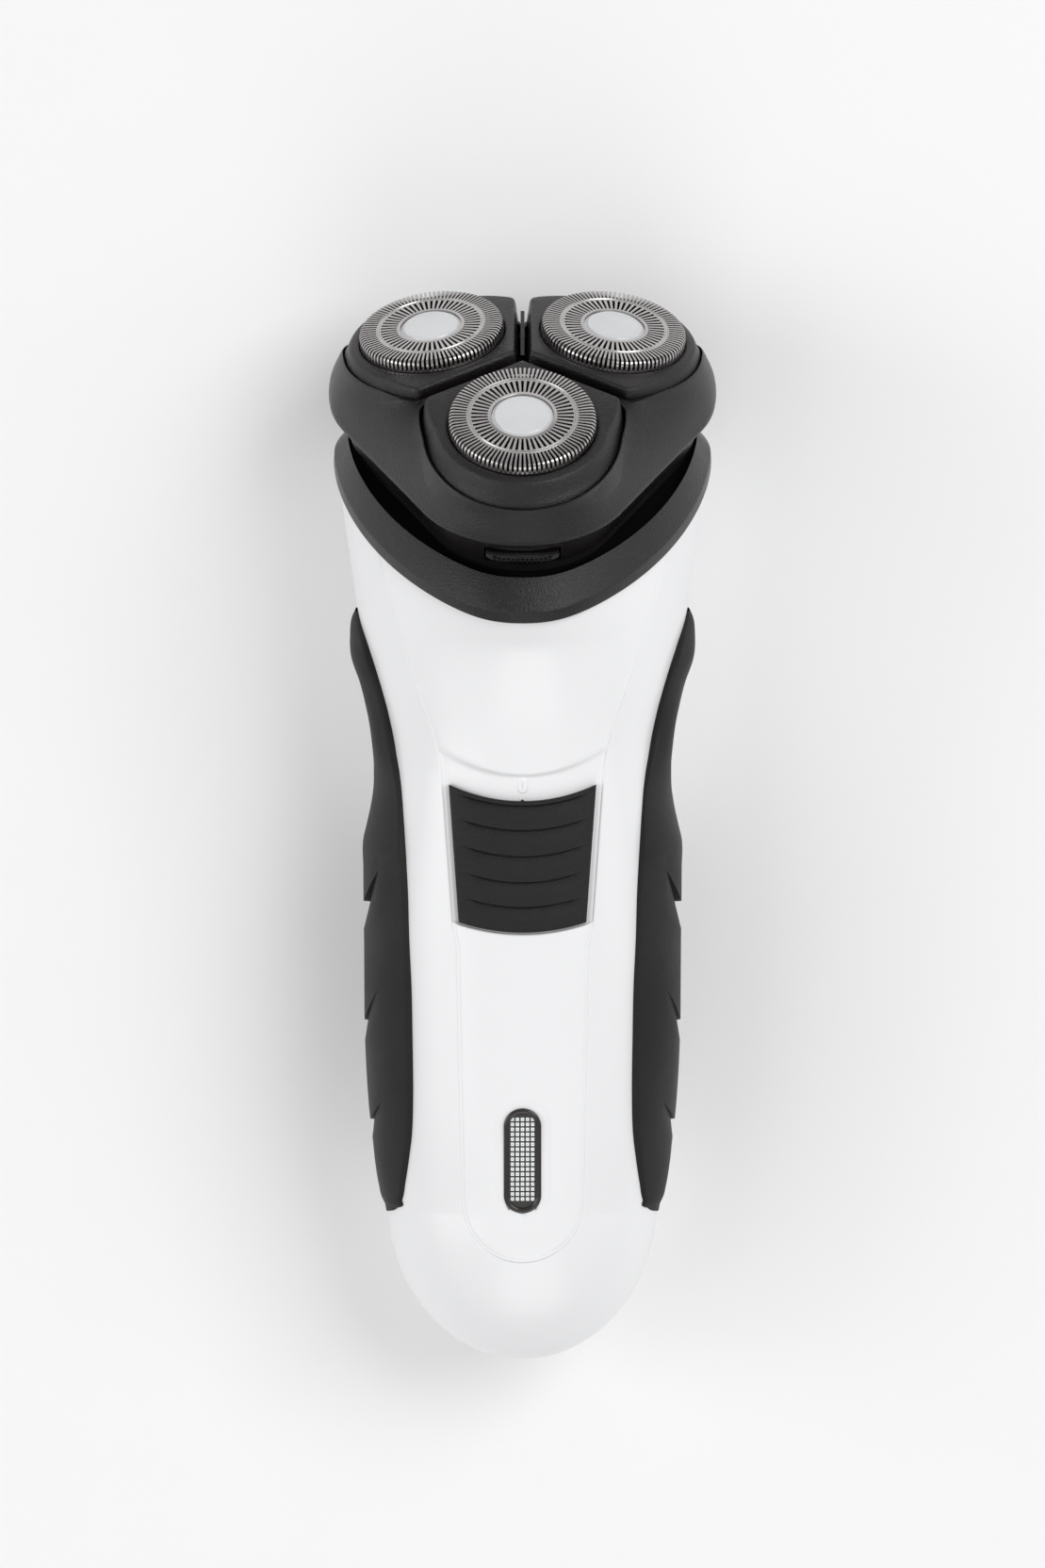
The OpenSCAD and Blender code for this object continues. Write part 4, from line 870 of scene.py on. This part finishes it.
def head_spider():
    """The plate inside the frame, its ribs between the pods, the pods' stops and the hinge's arms."""
    drive = RING_R - DRIVE_H * math.sin(math.radians(TILT))
    a, hole_r, plate_h = circle(72), 10.4, 9.8
    holes = []
    for c in np.radians(list(DIRECTIONS.values())):
        holes.append(np.stack([drive * math.cos(c) + hole_r * np.cos(a),
                               drive * math.sin(c) + hole_r * np.sin(a)], -1))
    verts, faces = flat_plate([lobes(14.4, plate_h)[:, :2], *holes], plate_h, 1.2)
    b = Build()
    b.add(verts, at_head)
    b.faces += faces
    for c in DIRECTIONS.values():
        b.block((5, -0.3, -10.3), (17.4, 0.3, -3.4), lambda q: at_head(q @ spin(c + 60)))
    for k in DIRECTIONS:
        for y in (-1, 1):
            b.block((-1.4, y * STOP_Y - 0.5, -10.8), (1.4, y * STOP_Y + 0.5, -7.4), at_pod(k))
    for x in (-ARM_X, ARM_X):
        barrel(b, x - 1.7, x + 1.7, KNUCKLE_R)
        b.block((x - 1.7, 20.2, HINGE_H), (x + 1.7, HINGE_Y, -15.7), at_head)
    new_object("head_spider", b.mesh("head_spider"), "black_satin", "head", 38)


def tab():
    """A shallow boat with turned-up ends and a row of teeth along its lower edge."""
    half, teeth, pitch = 5.5, 13, 0.7

    def place(q):
        return at_head(np.asarray(q, float) + [0, TAB_Y, -18.6])
    rows = []
    for v in np.concatenate([[-half, -5.46, -5.38], np.linspace(-5.25, 5.25, 60), [5.38, 5.46, half]]):
        end = abs(v) / half
        low, top = 0.75 + 0.75 * end ** 6, 2.35 + 0.2 * end ** 4
        k = 0.9 if end == 1 else 0.97 if end > 0.99 else 1
        out = 0.1 - 0.25 * (1 - end ** 8)
        face = soften([(out, low), (1.4, low), (1.4, top), (out - 0.1, top), (out + 0.22, top - 0.35),
                       (out + 0.22, low + 0.35)], 0.16)
        middle = face.mean(axis=0)
        rows.append([[v, *(middle + (q - middle) * k)] for q in face])
    b = Build().grid(rows, wrap_cols=True, place=place).cap(rows[0], place).cap(rows[-1], place)
    mid = teeth // 2
    for i in range(teeth):
        z = 0.62 + 0.5 * (abs(i - mid) / mid) ** 6
        tooth = turned([(0.001, z - 0.25), (0.14, z - 0.22), (0.24, z - 0.1), (0.26, z + 0.05),
                        (0.26, z + 0.5), (0.001, z + 0.55)], 20)
        b.grid(tooth + [(i - mid) * pitch, 0.02, 0], wrap_cols=True, place=place)
    b.block((-5.1, 1.3, 0.9), (5.1, 3.7, 1.8), place)
    new_object("tab_skin", b.mesh("tab"), "black_satin", "tab", 40, ["release_tab"])


# ---- charge window ----
def window():
    """The frame round the charge window, and its lens with light cells on a dark ground."""
    slope, lens_r, lens_low, lens_top = math.radians(9), 2.09, -1.9, -0.25

    def at_window(p):
        return np.stack([p[..., 0], WINDOW_Y + p[..., 1] * math.cos(slope) - p[..., 2] * math.sin(slope),
                         WINDOW_Z + p[..., 1] * math.sin(slope) + p[..., 2] * math.cos(slope)], -1)

    def capsule(half, z):
        steps = 72
        a = np.radians(np.arange(steps) * 360 / steps + 180 / steps)
        return np.stack([half * np.cos(a), half * np.sin(a) + WINDOW_HALF * np.sign(np.sin(a)),
                         np.full(steps, z)], -1)
    rings = [capsule(r, z) for r, z in (
        (BEZEL_R, -2.2), (BEZEL_R, 0.02), (2.85, 0.12), (2.72, 0.2), (2.5, 0.23), (2.28, 0.18), (2.14, 0.06),
        (2.1, -0.1), (2.1, -2.2))]
    b = Build().grid(np.array(rings), wrap_rows=True, wrap_cols=True, place=at_window)
    new_object("bezel", b.mesh("bezel"), "black_gloss", "handle", 40, ["charge_bezel"])
    low, top = capsule(lens_r, lens_low), capsule(lens_r, lens_top)
    lens = Build().grid(np.array([low, top]), wrap_cols=True, place=at_window)
    lens.cap(top, at_window).cap(low, at_window)
    kinds = [0] * len(lens.faces)
    for j in range(17):
        for i in range(5):
            x, y = (i - 2) * 0.78, (j - 8) * 0.8 + 0.25
            if math.hypot(x, max(abs(y) - WINDOW_HALF, 0)) > 2:
                continue
            for kind, w, l, z in ((1, 0.26, 0.27, -0.2), (2, 0.09, 0.09, -0.185)):
                lens.block((x - w, y - l, -0.3), (x + w, y + l, z), at_window)
                kinds += [kind] * 6
    mesh = bpy.data.meshes.new("lens")
    mesh.from_pydata((np.vstack(lens.verts) * MM).tolist(), [], lens.faces)
    mesh.polygons.foreach_set("material_index", kinds)
    mesh.validate()
    new_object("lens", mesh, "window_lens", "handle", 30, ["charge_lens"],
               [FINISH["window_lens"], LIGHT_CELL, DARK_CELL])


for make in (front_shell, rear_shell, feet, panel, pip, button, pointer, grips, collar, pods, caps, head_frame,
             head_spider, tab, window):
    make()

# ---- finishes of the exact pieces ----
SLOT_OF = {
    "charge_led": "led", "circuit_board": "board", "slide_switch": "dark_plastic",
    "battery_cells": "cell_wrap", "battery_contacts": "contact_metal", "inlet_socket": "black_gloss",
    # The drive deck is black plastic and also takes the throat's darker black as painted shade
    "inlet_pins": "contact_metal", "case_screws": "screw_steel", "drive_deck": "throat_black_painted_shade",
    "deck_seal": "seal_rubber", "rubber_feet": "seal_rubber", "gear_chassis": "deck_plastic",
    "motor_can": "can_steel", "motor_rotor": "armature", "pinion": "gear_plastic",
    "hinge_pin": "screw_steel", "release_tab": "black_satin", "front_shell": "white_shell",
    "rear_shell": "white_shell", "fascia": "white_panel", "collar": "black_satin",
    "grip_left": "grip_rubber", "grip_right": "grip_rubber", "charge_bezel": "black_gloss",
    "charge_lens": "window_lens", "switch_button": "black_button", "head_frame": "black_satin"}
for k in DIRECTIONS:
    # The cutters take the darkened blade steel, which is painted shade in the caps' slots
    SLOT_OF.update({"gear_" + k: "gear_plastic", "spindle_" + k: "gear_plastic", "pod_" + k: "black_satin",
                    "cap_" + k: "cap_steel", "badge_" + k: "badge_white", "cutter_" + k: "blade_steel",
                    "retainer_" + k: "dark_plastic"})
for name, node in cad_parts.items():
    node.data.materials.clear()
    node.data.materials.append(FINISH[SLOT_OF[name]])

# ---- stage, light and camera (metres) ----
bpy.ops.mesh.primitive_plane_add(size=6)
floor = bpy.context.object
floor.name = "floor"
floor.data.materials.append(finish("floor_paper", (0.93, 0.93, 0.935), 0.7, grain=0.02, size=60, vary=0.006))

WORLD_LIGHT = 0.43
world = bpy.data.worlds.new("studio")
bpy.context.scene.world = world
world.use_nodes = True
world.node_tree.nodes["Background"].inputs["Color"].default_value = (1.0, 1.0, 1.0, 1)
world.node_tree.nodes["Background"].inputs["Strength"].default_value = WORLD_LIGHT

# Each lamp's name, place, aim, size and power in watts
LAMPS = (("key", (0.75, 0.5, 1.1), (0, 0.02, 0), 0.8, 8),
         ("fill", (-0.9, -0.1, 0.9), (0, 0, 0), 0.9, 3.1),
         ("front", (0.1, -1.0, 0.9), (0, 0, 0), 0.8, 2.75),
         ("left", (-0.95, 0.1, 0.5), (0, 0.02, 0.02), 0.5, 1.7),
         ("right", (0.95, 0, 0.5), (0, 0.02, 0.02), 0.5, 0.8))
for name, place, aim, size, watts in LAMPS:
    light = bpy.data.lights.new(name, "AREA")
    light.shape, light.size, light.energy = "SQUARE", size, watts
    lamp = bpy.data.objects.new(name, light)
    bpy.context.scene.collection.objects.link(lamp)
    lamp.location = place
    lamp.rotation_euler = (Vector(aim) - Vector(place)).to_track_quat("-Z", "Y").to_euler()

# The camera looks down at the target, from almost straight above
LENS, SENSOR, DISTANCE, SLANT, TARGET = 129.1, 36, 0.88, math.radians(4), Vector((0, 0.00683, 0.020))
view = bpy.data.cameras.new("view")
view.lens, view.sensor_width = LENS, SENSOR
camera = bpy.data.objects.new("view", view)
bpy.context.scene.collection.objects.link(camera)
back = Vector((0, math.sin(SLANT), math.cos(SLANT)))
up = Vector((0, math.cos(SLANT), -math.sin(SLANT)))
spot = TARGET + DISTANCE * back
camera.matrix_world = Matrix(((1, up.x, back.x, spot.x), (0, up.y, back.y, spot.y),
                              (0, up.z, back.z, spot.z), (0, 0, 0, 1)))
bpy.context.scene.camera = camera
bpy.context.scene.view_settings.view_transform = "Standard"
